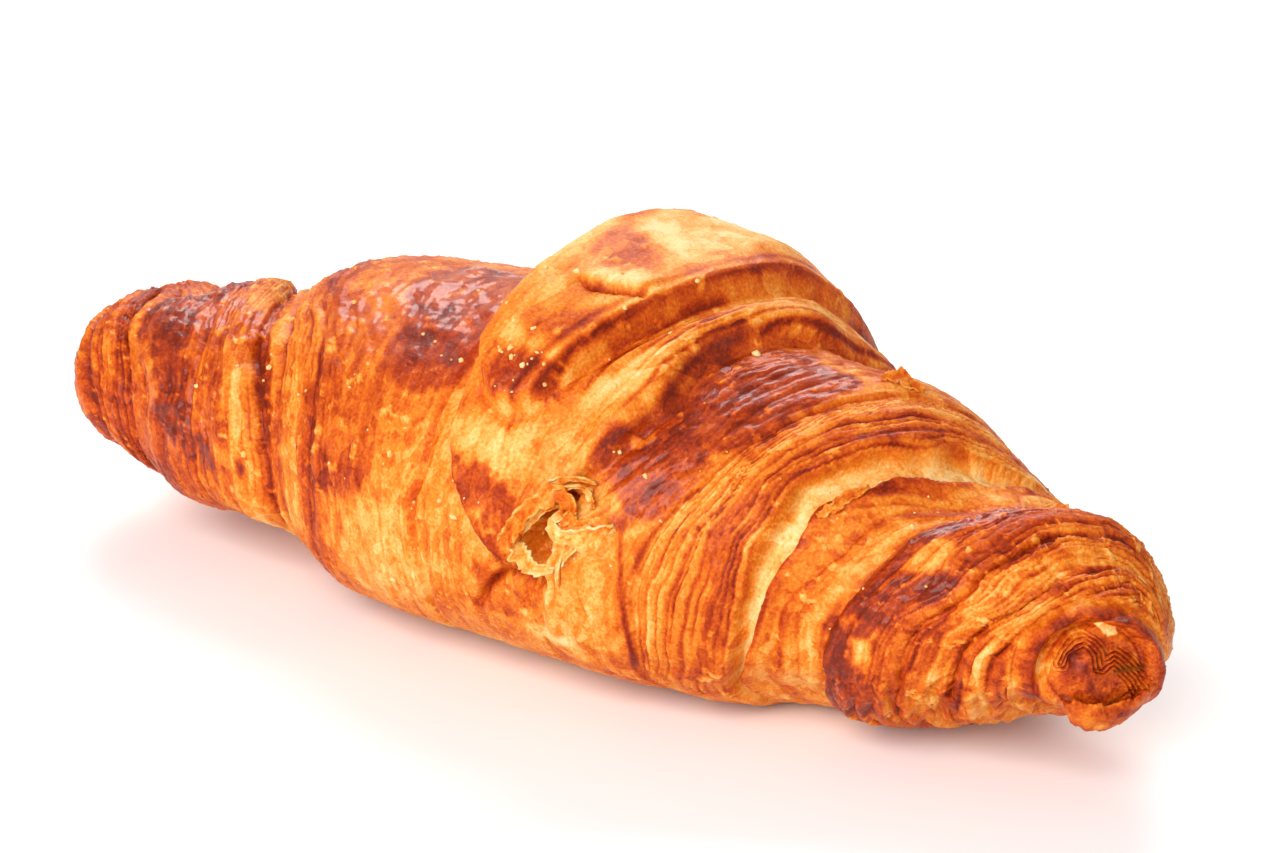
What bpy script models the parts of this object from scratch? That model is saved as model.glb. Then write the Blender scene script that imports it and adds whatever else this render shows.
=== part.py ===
"""A butter croissant, baked as one piece of rolled, laminated dough.

Frame: metres, +Z up. X runs along the roll, -Y is the side where the last wrap's tips end,
and the origin is at the middle of the flat patch on which the croissant rests.
"""

import math

import bmesh
import bpy
import numpy as np
from mathutils import Matrix

MM = 0.001

# Driving dimensions of the roll, in millimetres and degrees.
HALF_LENGTH = 89.5
END_BLUNTNESS = 16.0
SECTION_SQUARENESS = 0.8
SEGMENTS_AROUND = 60
RINGS = 84
EVEN_RING_SHARE = 0.7

# The roll's outline: along X, then its centre line, half width, underside and top.
STATIONS = (
    # along, centre_y, half_width, bottom, top
    (-89.0, -6.5, 15.0, 10.0, 33.0),
    (-78.0, -3.5, 18.5, 7.5, 34.0),
    (-70.0, -1.5, 20.5, 5.0, 34.5),
    (-56.0, 0.5, 23.5, 1.4, 37.5),
    (-42.0, 1.0, 26.5, -1.0, 42.5),
    (-28.0, 1.0, 29.5, -1.6, 44.5),
    (-14.0, 1.0, 32.0, -1.6, 46.5),
    (0.0, 2.0, 33.5, -1.6, 48.5),
    (14.0, 2.5, 33.0, -1.6, 48.0),
    (28.0, 4.0, 30.0, -1.6, 46.0),
    (42.0, 5.0, 26.0, -1.4, 42.0),
    (56.0, 5.0, 21.5, 1.4, 37.5),
    (70.0, 3.5, 17.0, 6.0, 34.0),
    (80.0, 2.0, 15.0, 8.0, 32.5),
    (88.0, 0.0, 12.5, 9.0, 30.0),
)
STATION_BLEND = 9.0

# Each wrap's edge runs round the roll as a helix, outwards from the middle as it goes
# over the top to the back, and returns underneath. Angles are 0 at the front (-Y), 90 at
# the top and 180 at the back.
HELIX_START = -60.0
HELIX_TURN = 195.0
HELIX_END = 300.0
RIGHT_LEAD = 0.13
LEFT_LEAD = 0.17

# Hollows between the wraps: distance from the middle at the front, depth, and half widths
# on the side nearer the middle and on the side nearer the end. They fade out underneath.
RIGHT_HOLLOWS = (
    (41.5, 2.2, 7.0, 5.0),
    (66.5, 1.6, 5.0, 4.2),
    (80.5, 1.0, 3.8, 3.4),
)
LEFT_HOLLOWS = (
    (37.0, 2.0, 5.0, 7.0),
    (57.5, 1.6, 5.5, 4.5),
    (76.0, 0.9, 3.8, 3.6),
)
HOLLOW_GONE_BELOW = -0.95
HOLLOW_FULL_ABOVE = -0.55

# The last wrap: a raised band over the middle, highest along its left edge and on top,
# which ends low on the front in a blunt tongue and sinks into the roll at the back.
TONGUE_LEFT = -4.0
TONGUE_LEFT_EDGE = 3.2
TONGUE_RIGHT = 11.0
TONGUE_RIGHT_EDGE = 6.0
TONGUE_FRONT_HEIGHT = 4.2
TONGUE_TOP_HEIGHT = 9.0
TONGUE_SLOPE = 0.4
TONGUE_TIP = (-18.0, 6.0)
TONGUE_RISE = (15.0, 70.0)
TONGUE_SINK = (110.0, 205.0)

# The upper fold of the last wrap, a rounded roll lying along the band's left edge.
FOLD_HEIGHT = 2.2
FOLD_MIDDLE_AT_FRONT = -0.5
FOLD_LEAD = 0.1
FOLD_HALF_WIDTH = 8.0
FOLD_TIP = (22.0, 44.0)

CUTTER_SIZE = 0.4
CRUST_COLOUR = (0.78, 0.33, 0.07, 1.0)
CRUST_ROUGHNESS = 0.45


def clear_scene():
    for old in list(bpy.data.objects):
        bpy.data.objects.remove(old)


def smooth_step(value, low, high):
    """0 below low, 1 above high, and an even S between them."""
    share = min(max((value - low) / (high - low), 0.0), 1.0)
    return share * share * (3.0 - 2.0 * share)


def station_values(along):
    """Centre line, half width, underside and top at this place, with the stations blended."""
    table = np.array(STATIONS)
    offsets = np.linspace(-1.0, 1.0, 13)
    weights = np.cos(offsets * math.pi / 2.0) ** 2
    places = along + STATION_BLEND * offsets
    found = [np.average(np.interp(places, table[:, 0], column), weights=weights)
             for column in table[:, 1:].T]
    return found


def helix_shift(around, lead):
    """How far a wrap's edge has moved outwards by this angle. It comes back underneath."""
    angle = (around - HELIX_START) % 360.0 + HELIX_START
    if angle <= HELIX_TURN:
        return lead * angle
    back = smooth_step(angle, HELIX_TURN, HELIX_END)
    return lead * (HELIX_TURN * (1.0 - back) + HELIX_START * back)


def hollow(distance, place, depth, inner, outer):
    width = inner if distance < place else outer
    return -depth * math.exp(-(((distance - place) / width) ** 2))


def tongue_relief(along, around):
    """Height of the last wrap above the roll, with its blunt tongue at the front."""
    angle = (around + 90.0) % 360.0 - 90.0
    right_edge = TONGUE_RIGHT + helix_shift(around, RIGHT_LEAD)
    left_side = smooth_step(along, TONGUE_LEFT - TONGUE_LEFT_EDGE, TONGUE_LEFT + TONGUE_LEFT_EDGE)
    right_side = 1.0 - smooth_step(along, right_edge - TONGUE_RIGHT_EDGE,
                                   right_edge + TONGUE_RIGHT_EDGE)
    slope = 1.0 - TONGUE_SLOPE * smooth_step(along, TONGUE_LEFT, right_edge)
    sink = 1.0 - smooth_step(angle, *TONGUE_SINK)
    height = TONGUE_FRONT_HEIGHT * smooth_step(angle, *TONGUE_TIP)
    height += (TONGUE_TOP_HEIGHT - TONGUE_FRONT_HEIGHT) * smooth_step(angle, *TONGUE_RISE)
    fold_middle = FOLD_MIDDLE_AT_FRONT + FOLD_LEAD * angle
    fold = FOLD_HEIGHT * math.exp(-(((along - fold_middle) / FOLD_HALF_WIDTH) ** 4))
    fold *= smooth_step(angle, *FOLD_TIP)
    return left_side * right_side * sink * (height * slope + fold)


def wrap_relief(along, around):
    """Height of the wraps above or below the roll's outline."""
    if along >= 0.0:
        distance = along - helix_shift(around, RIGHT_LEAD)
        hollows = RIGHT_HOLLOWS
    else:
        distance = -along - helix_shift(around, LEFT_LEAD)
        hollows = LEFT_HOLLOWS
    shown = smooth_step(math.sin(math.radians(around)), HOLLOW_GONE_BELOW, HOLLOW_FULL_ABOVE)
    return tongue_relief(along, around) + shown * sum(hollow(distance, *one) for one in hollows)


def crust_point(share, around):
    """The crust at share (-1 to 1 of the half length) and around (degrees), in millimetres."""
    along = HALF_LENGTH * share
    centre_y, half_width, bottom, top = station_values(along)
    closing = math.sqrt(max(0.0, 1.0 - abs(share) ** END_BLUNTNESS))
    middle, half_height = (top + bottom) / 2.0, (top - bottom) / 2.0
    cosine, sine = math.cos(math.radians(around)), math.sin(math.radians(around))
    if sine < 0.0:
        sine = -abs(sine) ** SECTION_SQUARENESS
    out_y, out_z = -half_width * cosine, half_height * sine
    swell = 1.0 + wrap_relief(along, around) / math.hypot(out_y, out_z)
    reach = closing * swell
    return along, centre_y + reach * out_y, middle + reach * out_z


def make_crust():
    """A UV sphere whose poles are the croissant's two ends, moved point by point to the crust.

    Its rings are spread more evenly along the roll than a sphere's, which crowd to the poles.
    """
    mesh = bpy.data.meshes.new("croissant")
    shape = bmesh.new()
    bmesh.ops.create_uvsphere(shape, u_segments=SEGMENTS_AROUND, v_segments=RINGS, radius=1.0)
    for vert in shape.verts:
        even = 2.0 * math.asin(max(-1.0, min(1.0, vert.co.z))) / math.pi
        share = EVEN_RING_SHARE * even + (1.0 - EVEN_RING_SHARE) * vert.co.z
        around = math.degrees(math.atan2(vert.co.y, vert.co.x))
        vert.co = [MM * value for value in crust_point(share, around)]
    bmesh.ops.recalc_face_normals(shape, faces=shape.faces)
    shape.to_mesh(mesh)
    shape.free()
    return bpy.data.objects.new("croissant", mesh)


def make_worktop():
    """The block below the resting plane, which cuts the flat patch."""
    bpy.ops.mesh.primitive_cube_add(size=CUTTER_SIZE, location=(0.0, 0.0, -CUTTER_SIZE / 2.0))
    block = bpy.context.object
    block.name = "worktop_cutter"
    block.hide_render = True
    block.display_type = "WIRE"
    return block


def cut_flat_patch(crust, worktop):
    """Cuts the underside at Z = 0, and keeps the result as the crust's mesh."""
    cut = crust.modifiers.new("flat_patch", "BOOLEAN")
    cut.operation = "DIFFERENCE"
    cut.object = worktop
    graph = bpy.context.evaluated_depsgraph_get()
    flat = bpy.data.meshes.new_from_object(crust.evaluated_get(graph))
    crust.modifiers.clear()
    crust.data = flat


def centre_on_origin(crust):
    """Puts the origin at the bottom centre of the croissant's box."""
    points = np.array([vert.co for vert in crust.data.vertices])
    low, high = points.min(axis=0), points.max(axis=0)
    middle = (low + high) / 2.0
    crust.data.transform(Matrix.Translation((-middle[0], -middle[1], -low[2])))


def crust_material():
    material = bpy.data.materials.new("baked_crust")
    material.use_nodes = True
    shader = material.node_tree.nodes["Principled BSDF"]
    shader.inputs["Base Color"].default_value = CRUST_COLOUR
    shader.inputs["Roughness"].default_value = CRUST_ROUGHNESS
    shader.inputs["Metallic"].default_value = 0.0
    return material


def main():
    clear_scene()
    parts = bpy.data.collections.new("croissant")
    cutters = bpy.data.collections.new("cutters")
    for collection in (parts, cutters):
        bpy.context.scene.collection.children.link(collection)
    crust = make_crust()
    parts.objects.link(crust)
    worktop = make_worktop()
    for collection in worktop.users_collection:
        collection.objects.unlink(worktop)
    cutters.objects.link(worktop)
    cut_flat_patch(crust, worktop)
    centre_on_origin(crust)
    crust.data.materials.clear()
    crust.data.materials.append(crust_material())
    crust.data.shade_smooth()


main()
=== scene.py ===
"""A butter croissant: the crust with its stretched layers, the torn layers beside the tip of
the last wrap, loose flakes, the loose end of the outermost layer, crumbs, and a pale studio
stage.

Lengths are in millimetres until a mesh is made, when they become metres. X runs along the
roll, angles go round it: 0 is the front (-Y), 90 the top, 180 the back and 270 underneath.
"""

import math

import bmesh
import bpy
import numpy as np
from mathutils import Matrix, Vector


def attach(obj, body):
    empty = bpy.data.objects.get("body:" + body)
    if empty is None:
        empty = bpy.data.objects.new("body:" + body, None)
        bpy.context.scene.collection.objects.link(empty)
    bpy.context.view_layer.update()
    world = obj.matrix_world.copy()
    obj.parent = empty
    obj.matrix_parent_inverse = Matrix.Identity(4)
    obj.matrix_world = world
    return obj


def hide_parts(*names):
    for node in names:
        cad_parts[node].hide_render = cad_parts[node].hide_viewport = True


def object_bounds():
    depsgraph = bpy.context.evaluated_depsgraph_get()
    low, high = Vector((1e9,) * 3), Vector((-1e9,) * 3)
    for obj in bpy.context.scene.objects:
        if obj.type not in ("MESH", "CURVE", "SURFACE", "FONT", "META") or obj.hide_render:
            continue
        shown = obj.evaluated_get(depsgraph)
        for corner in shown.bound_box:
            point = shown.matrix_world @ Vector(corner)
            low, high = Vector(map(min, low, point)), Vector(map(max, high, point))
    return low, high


bl_info = {
    "name": "Butter Croissant",
    "version": (1, 0, 0),
    "blender": (4, 5, 0),
    "location": "3D View > Sidebar > Croissant",
    "description": "Builds a baked butter croissant around its packed solid",
    "category": "Object",
}

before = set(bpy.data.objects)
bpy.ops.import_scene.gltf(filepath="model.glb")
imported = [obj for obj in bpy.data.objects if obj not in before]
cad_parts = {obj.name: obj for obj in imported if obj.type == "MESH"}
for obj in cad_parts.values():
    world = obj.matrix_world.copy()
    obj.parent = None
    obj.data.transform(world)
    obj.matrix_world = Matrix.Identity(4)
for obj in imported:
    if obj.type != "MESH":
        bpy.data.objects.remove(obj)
CAD_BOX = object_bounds()

MM = 0.001
NODE = "croissant"
BODY = "root"


def linear(code):
    """An sRGB hex colour as linear red, green, blue."""
    parts = [int(code[i:i + 2], 16) / 255.0 for i in (0, 2, 4)]
    return tuple(c / 12.92 if c <= 0.04045 else ((c + 0.055) / 1.055) ** 2.4 for c in parts)


# The roll's outline, the same as the solid's: along X, then centre line, half width,
# underside and top, in millimetres.
STATIONS = (
    (-89.0, -6.5, 15.0, 10.0, 33.0),
    (-78.0, -3.5, 18.5, 7.5, 34.0),
    (-70.0, -1.5, 20.5, 5.0, 34.5),
    (-56.0, 0.5, 23.5, 1.4, 37.5),
    (-42.0, 1.0, 26.5, -1.0, 42.5),
    (-28.0, 1.0, 29.5, -1.6, 44.5),
    (-14.0, 1.0, 32.0, -1.6, 46.5),
    (0.0, 2.0, 33.5, -1.6, 48.5),
    (14.0, 2.5, 33.0, -1.6, 48.0),
    (28.0, 4.0, 30.0, -1.6, 46.0),
    (42.0, 5.0, 26.0, -1.4, 42.0),
    (56.0, 5.0, 21.5, 1.4, 37.5),
    (70.0, 3.5, 17.0, 6.0, 34.0),
    (80.0, 2.0, 15.0, 8.0, 32.5),
    (88.0, 0.0, 12.5, 9.0, 30.0),
)
STATION_BLEND = 9.0
CENTRE_LINE_SHIFT = -1.345
END_BLUNTNESS = 16.0
SECTION_SQUARENESS = 0.8

# How far a layer's edge has moved outwards by each angle: (angle, shift).
RIGHT_FLOW = ((-90, -4.0), (-40, -3.4), (-20, -2.0), (0, 0.0), (20, 2.0), (40, 4.8), (60, 8.0),
              (80, 11.2), (100, 14.6), (120, 17.8), (145, 21.0), (170, 23.0), (200, 22.5),
              (235, 12.0), (270, -4.0))
LEFT_FLOW = ((-90, -2.0), (-40, -1.6), (-20, -1.0), (0, 0.0), (20, 2.2), (40, 5.8), (60, 10.0),
             (80, 14.0), (100, 18.0), (120, 21.5), (145, 25.0), (170, 27.0), (200, 26.0),
             (235, 14.0), (270, -2.0))


def smooth_step(value, low, high):
    """0 below low, 1 above high, and an even S between them."""
    share = np.clip((value - low) / (high - low), 0.0, 1.0)
    return share * share * (3.0 - 2.0 * share)


def curve_at(value, points, blend=5.0):
    """The height of a curve through (place, height) points, with its corners rounded."""
    places, heights = np.array(points, float).T
    total = 0.0
    for offset, weight in ((-1.0, 0.15), (-0.5, 0.22), (0.0, 0.26), (0.5, 0.22), (1.0, 0.15)):
        total = total + weight * np.interp(value + blend * offset, places, heights)
    return total


# How many cells of noise there are before it repeats along the roll.
NOISE_ROWS = 512


def noise(u, turn, cells, seed):
    """Smooth noise from -1 to 1 that repeats after one turn: a cell is 1 of u by 1/cells turn."""
    table = np.random.default_rng(seed).uniform(-1.0, 1.0, (NOISE_ROWS, cells))
    low_u, low_v = np.floor(u), np.floor(turn * cells)
    share_u, share_v = u - low_u, turn * cells - low_v
    share_u = share_u ** 3 * (share_u * (share_u * 6.0 - 15.0) + 10.0)
    share_v = share_v ** 3 * (share_v * (share_v * 6.0 - 15.0) + 10.0)
    i0, j0 = low_u.astype(int) % NOISE_ROWS, low_v.astype(int) % cells
    i1, j1 = (i0 + 1) % NOISE_ROWS, (j0 + 1) % cells
    low = table[i0, j0] * (1.0 - share_u) + table[i1, j0] * share_u
    high = table[i0, j1] * (1.0 - share_u) + table[i1, j1] * share_u
    return low * (1.0 - share_v) + high * share_v


def rough(u, turn, cells, seed, octaves=3):
    """Noise with finer and finer noise added to it."""
    total, size = 0.0, 1.0
    for octave in range(octaves):
        total = total + size * noise(u * 2 ** octave, turn, cells * 2 ** octave, seed + octave)
        size *= 0.5
    return total / 1.6


def station_values(along):
    """Centre line, half width, underside and top at each place, with the stations blended."""
    table = np.array(STATIONS)
    offsets = np.linspace(-1.0, 1.0, 13)
    weights = np.cos(offsets * math.pi / 2.0) ** 2
    weights /= weights.sum()
    values = []
    for column in table[:, 1:].T:
        values.append(sum(weight * np.interp(along + STATION_BLEND * offset, table[:, 0], column)
                          for offset, weight in zip(offsets, weights)))
    return values


def closing_at(along, half_length):
    """How much of its full section the roll has at each place: 1, and 0 at its two ends."""
    return np.sqrt(np.maximum(0.0, 1.0 - np.abs(along / half_length) ** END_BLUNTNESS))


def outline_point(along, around, half_length, relief):
    """The roll's surface, in millimetres, raised by relief away from its centre line."""
    centre_y, half_width, bottom, top = station_values(along)
    closing = closing_at(along, half_length)
    middle, half_height = (top + bottom) / 2.0, (top - bottom) / 2.0
    cosine, sine = np.cos(np.radians(around)), np.sin(np.radians(around))
    sine = np.where(sine < 0.0, -np.abs(sine) ** SECTION_SQUARENESS, sine)
    out_y, out_z = -half_width * cosine, half_height * sine
    reach = closing * (1.0 + relief / np.hypot(out_y, out_z))
    return np.stack([along + 0.0 * around, centre_y + CENTRE_LINE_SHIFT + reach * out_y,
                     middle + reach * out_z], -1)


# Where the last wrap's right edge is at the front, from which the right side is measured.
LAST_WRAP_FRONT = 10.5
# The edges of the dough's layers from the middle to each end, as (angle, along) points: the
# last wrap's, its upper fold's, and the right side's. Past their first and last angle the
# right side's edges follow the flow round the back and underside.
LAST_WRAP_LEFT = ((-60, 9.5), (-10, 9.3), (-2, 8.6), (3, 6.4), (12, 2.2), (21, -1.0), (30, -3.0),
                  (45, -4.0), (200, -4.0), (240, 4.0))
LAST_WRAP_RIGHT = ((-60, 10.5), (0, 10.5), (10, 11.0), (20, 13.0), (30, 16.8), (40, 19.3),
                   (48, 20.6), (54, 22.6), (60, 22.8), (66, 21.8), (80, 22.2), (90, 24.0),
                   (100, 26.6), (107, 28.6), (113, 30.0), (130, 31.5), (200, 33.0), (240, 22.0))
FOLD_EDGE = ((-60, 9.6), (30, 9.4), (45, 9.4), (52, 10.4), (58, 11.6), (65, 13.2), (75, 15.2),
             (85, 17.0), (98, 18.6), (112, 20.2), (124, 23.0), (150, 26.0), (200, 28.0))
RIGHT_EDGES = (
    ((-45, 24.0), (-20, 24.0), (0, 25.0), (20, 28.0), (35, 31.0), (50, 33.4), (60, 35.0), (80, 38.0),
     (100, 42.0), (120, 46.5)),
    ((-40, 36.0), (-20, 37.2), (-5, 38.4), (10, 39.7), (20, 40.2), (40, 41.3), (50, 43.0), (60, 45.0),
     (80, 49.6), (100, 54.5), (120, 59.0)),
    ((-40, 37.2), (-20, 38.2), (-10, 39.2), (0, 41.0), (10, 42.4), (20, 43.4), (30, 44.0), (44, 44.8),
     (49, 47.2), (56, 49.2), (65, 50.3), (72, 51.6), (80, 54.0), (100, 59.0)),
    ((-40, 41.0), (-20, 41.8), (0, 43.6), (10, 45.0), (18, 47.4), (30, 50.6), (45, 53.0), (60, 56.0),
     (70, 59.2), (80, 62.0), (100, 66.0)),
    ((-45, 49.4), (-20, 49.4), (0, 50.0), (10, 52.2), (20, 54.2), (30, 56.0), (40, 57.2), (50, 58.3),
     (60, 59.8), (70, 62.5), (80, 65.2), (100, 69.5)),
    ((-45, 58.0), (-20, 59.4), (0, 61.0), (10, 62.6), (20, 65.2), (35, 68.0), (50, 69.6), (60, 71.0),
     (80, 73.6), (100, 76.4), (115, 78.4)),
    ((-45, 64.0), (-20, 66.0), (0, 68.2), (20, 71.6), (30, 74.0), (40, 75.4), (60, 77.2), (80, 79.4),
     (100, 81.6)),
    ((-45, 69.5), (-20, 71.4), (0, 73.2), (15, 75.0), (25, 76.6), (40, 79.0), (60, 81.4), (80, 83.4),
     (100, 84.6)),
    ((-45, 75.0), (-20, 76.2), (0, 77.8), (20, 79.6), (40, 82.2), (60, 84.2), (80, 85.8), (100, 86.6)),
)
# The same for the left end, as distances from the middle.
LEFT_EDGES = (
    ((-45, 9.5), (0, 8.4), (10, 9.4), (25, 8.6), (40, 8.8), (100, 9.0)),
    ((-45, 29.0), (-10, 28.0), (20, 29.4), (40, 33.0), (55, 37.0), (62, 40.0), (80, 45.0), (100, 49.0)),
    ((-45, 33.6), (0, 33.4), (20, 34.6), (40, 37.8), (60, 43.4), (80, 49.0), (100, 53.0)),
    ((-45, 37.6), (0, 38.8), (20, 40.0), (40, 43.4), (60, 47.4), (80, 52.0), (100, 57.0)),
    ((-45, 39.6), (0, 40.8), (20, 43.6), (40, 48.2), (60, 52.2), (80, 55.6), (100, 60.0)),
    ((-45, 41.0), (0, 43.0), (20, 45.8), (40, 50.6), (60, 54.2), (80, 57.4), (100, 61.8)),
    ((-45, 55.0), (0, 56.8), (20, 57.2), (40, 60.0), (60, 62.6), (80, 65.0), (100, 68.0)),
    ((-45, 68.4), (0, 69.6), (20, 70.6), (40, 74.8), (50, 77.0), (60, 78.0), (80, 80.0), (100, 81.6)),
    ((-45, 75.4), (-15, 76.8), (10, 79.8), (30, 82.6), (60, 84.8), (100, 86.4)),
)

# The place torn open beside the lower tip of the last wrap: its hole, a smaller hole and the
# lump of dough pulled out of it, as outlines of (along, angle) points.
TORN_PLACE = ((9.6, 5), (12.0, -0.5), (14.4, 1), (14.6, 7), (15.4, 16), (13.6, 19), (11.8, 15),
              (10.6, 9))
SMALL_HOLE = ((14.4, 20.5), (17.4, 21.5), (17.2, 25), (14.8, 24.5))
TORN_LUMP = ((14.6, 15), (15.2, 7), (18.5, 9.5), (22.5, 7), (23, 17), (20, 22), (17.5, 18))

# Height in millimetres across the layers. A whole number is a layer's edge, and the halves
# are the middles between two edges.
RIGHT_HEIGHT = (
    (0.0, -0.4), (0.12, 0.3), (0.5, 0.9), (0.9, 0.9), (1.0, 0.6), (1.04, 0.1), (1.3, 0.5),
    (1.8, 1.0), (1.97, 0.9), (2.05, -1.4), (2.5, -1.2), (2.9, -0.8), (3.05, 0.5), (3.3, 0.2),
    (3.9, -0.5), (4.05, 0.0), (4.4, -0.7), (4.95, -1.2), (5.06, 0.4), (5.3, 1.0), (5.7, 1.1),
    (5.96, 0.6), (6.04, -0.2), (6.2, 0.5), (6.6, 0.3), (6.96, -0.5), (7.05, -0.9), (7.3, 0.4),
    (7.7, 0.3), (7.96, -0.2), (8.05, -0.8), (8.4, 0.3), (8.96, 0.1), (9.05, -0.6), (9.3, 0.2),
    (10.0, 0.3),
)
LEFT_HEIGHT = (
    (0.0, 0.0), (0.9, 0.0), (1.0, -0.5), (1.03, 0.3), (1.4, 0.8), (1.96, 1.0), (2.04, 0.3),
    (2.5, 0.3), (2.96, 0.4), (3.05, -0.1), (3.5, 0.3), (3.94, 0.2), (4.1, -0.7), (4.5, -0.1),
    (4.9, -0.2), (5.08, -1.3), (5.6, -1.3), (5.95, -1.1), (6.05, -0.2), (6.3, 0.6), (6.8, 0.7),
    (6.97, 0.5), (7.04, 0.9), (7.5, 1.3), (7.95, 0.8), (8.04, -0.7), (8.2, 0.1), (8.9, 0.1),
    (9.04, -0.9), (9.15, -0.6), (9.3, 0.1), (10.0, 0.0),
)
# How brown the layers are, from 0 for pale dough to 1 for the darkest glaze.
RIGHT_BROWNING = (
    (0.0, 0.6), (0.1, 0.44), (0.5, 0.4), (0.95, 0.5), (1.0, 0.62), (1.08, 0.46), (1.3, 0.42),
    (1.5, 0.56), (1.8, 0.6), (1.97, 0.56), (2.04, 0.26), (2.4, 0.12), (2.92, 0.18), (3.02, 0.72),
    (3.15, 0.58), (3.4, 0.38), (3.8, 0.42), (3.95, 0.6), (4.05, 0.6), (4.2, 0.4), (4.6, 0.32),
    (4.95, 0.55), (5.04, 0.86), (5.3, 0.78), (5.6, 0.66), (5.95, 0.7), (6.04, 0.92), (6.2, 0.8),
    (6.45, 0.62), (6.6, 0.46), (6.9, 0.58), (7.04, 0.9), (7.25, 0.76), (7.5, 0.58), (7.75, 0.46),
    (7.95, 0.6), (8.04, 0.88), (8.3, 0.72), (8.6, 0.52), (8.95, 0.62), (9.04, 0.82), (9.3, 0.62),
    (9.6, 0.72), (10.0, 0.74),
)
LEFT_BROWNING = (
    (0.0, 0.42), (0.9, 0.44), (1.0, 0.55), (1.05, 0.46), (1.9, 0.5), (2.0, 0.72), (2.5, 0.6),
    (2.95, 0.66), (3.05, 0.46), (3.5, 0.4), (3.9, 0.5), (4.0, 0.84), (4.2, 0.6), (4.6, 0.42),
    (4.95, 0.56), (5.06, 0.8), (5.9, 0.76), (6.05, 0.46), (6.2, 0.34), (6.4, 0.44), (6.9, 0.56),
    (7.0, 0.66), (7.5, 0.64), (7.95, 0.6), (8.0, 0.9), (8.15, 0.66), (8.5, 0.58), (8.9, 0.62),
    (9.0, 0.94), (9.15, 0.84), (9.3, 0.6), (9.7, 0.55), (10.0, 0.7),
)
# How strongly the fine stretched layers show across the same bands.
RIGHT_LAYERING = ((0.0, 0.2), (0.95, 0.35), (1.05, 1.0), (1.95, 1.0), (2.05, 0.12), (2.95, 0.15),
                  (3.05, 0.7), (3.4, 0.5), (4.0, 0.5), (4.9, 0.35), (5.05, 0.6), (5.8, 0.7),
                  (6.05, 1.0), (10.0, 1.0))
LEFT_LAYERING = ((0.0, 0.15), (1.0, 0.4), (1.2, 0.2), (1.9, 0.25), (2.0, 1.0), (3.0, 0.9),
                 (3.1, 0.35), (4.0, 0.6), (5.0, 0.9), (6.0, 0.7), (6.1, 0.5), (7.0, 0.5),
                 (7.1, 0.4), (7.9, 0.5), (8.0, 1.0), (10.0, 1.0))

# How many millimetres one degree round the roll is taken as, when a distance is measured.
DEGREE = 0.5
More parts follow.
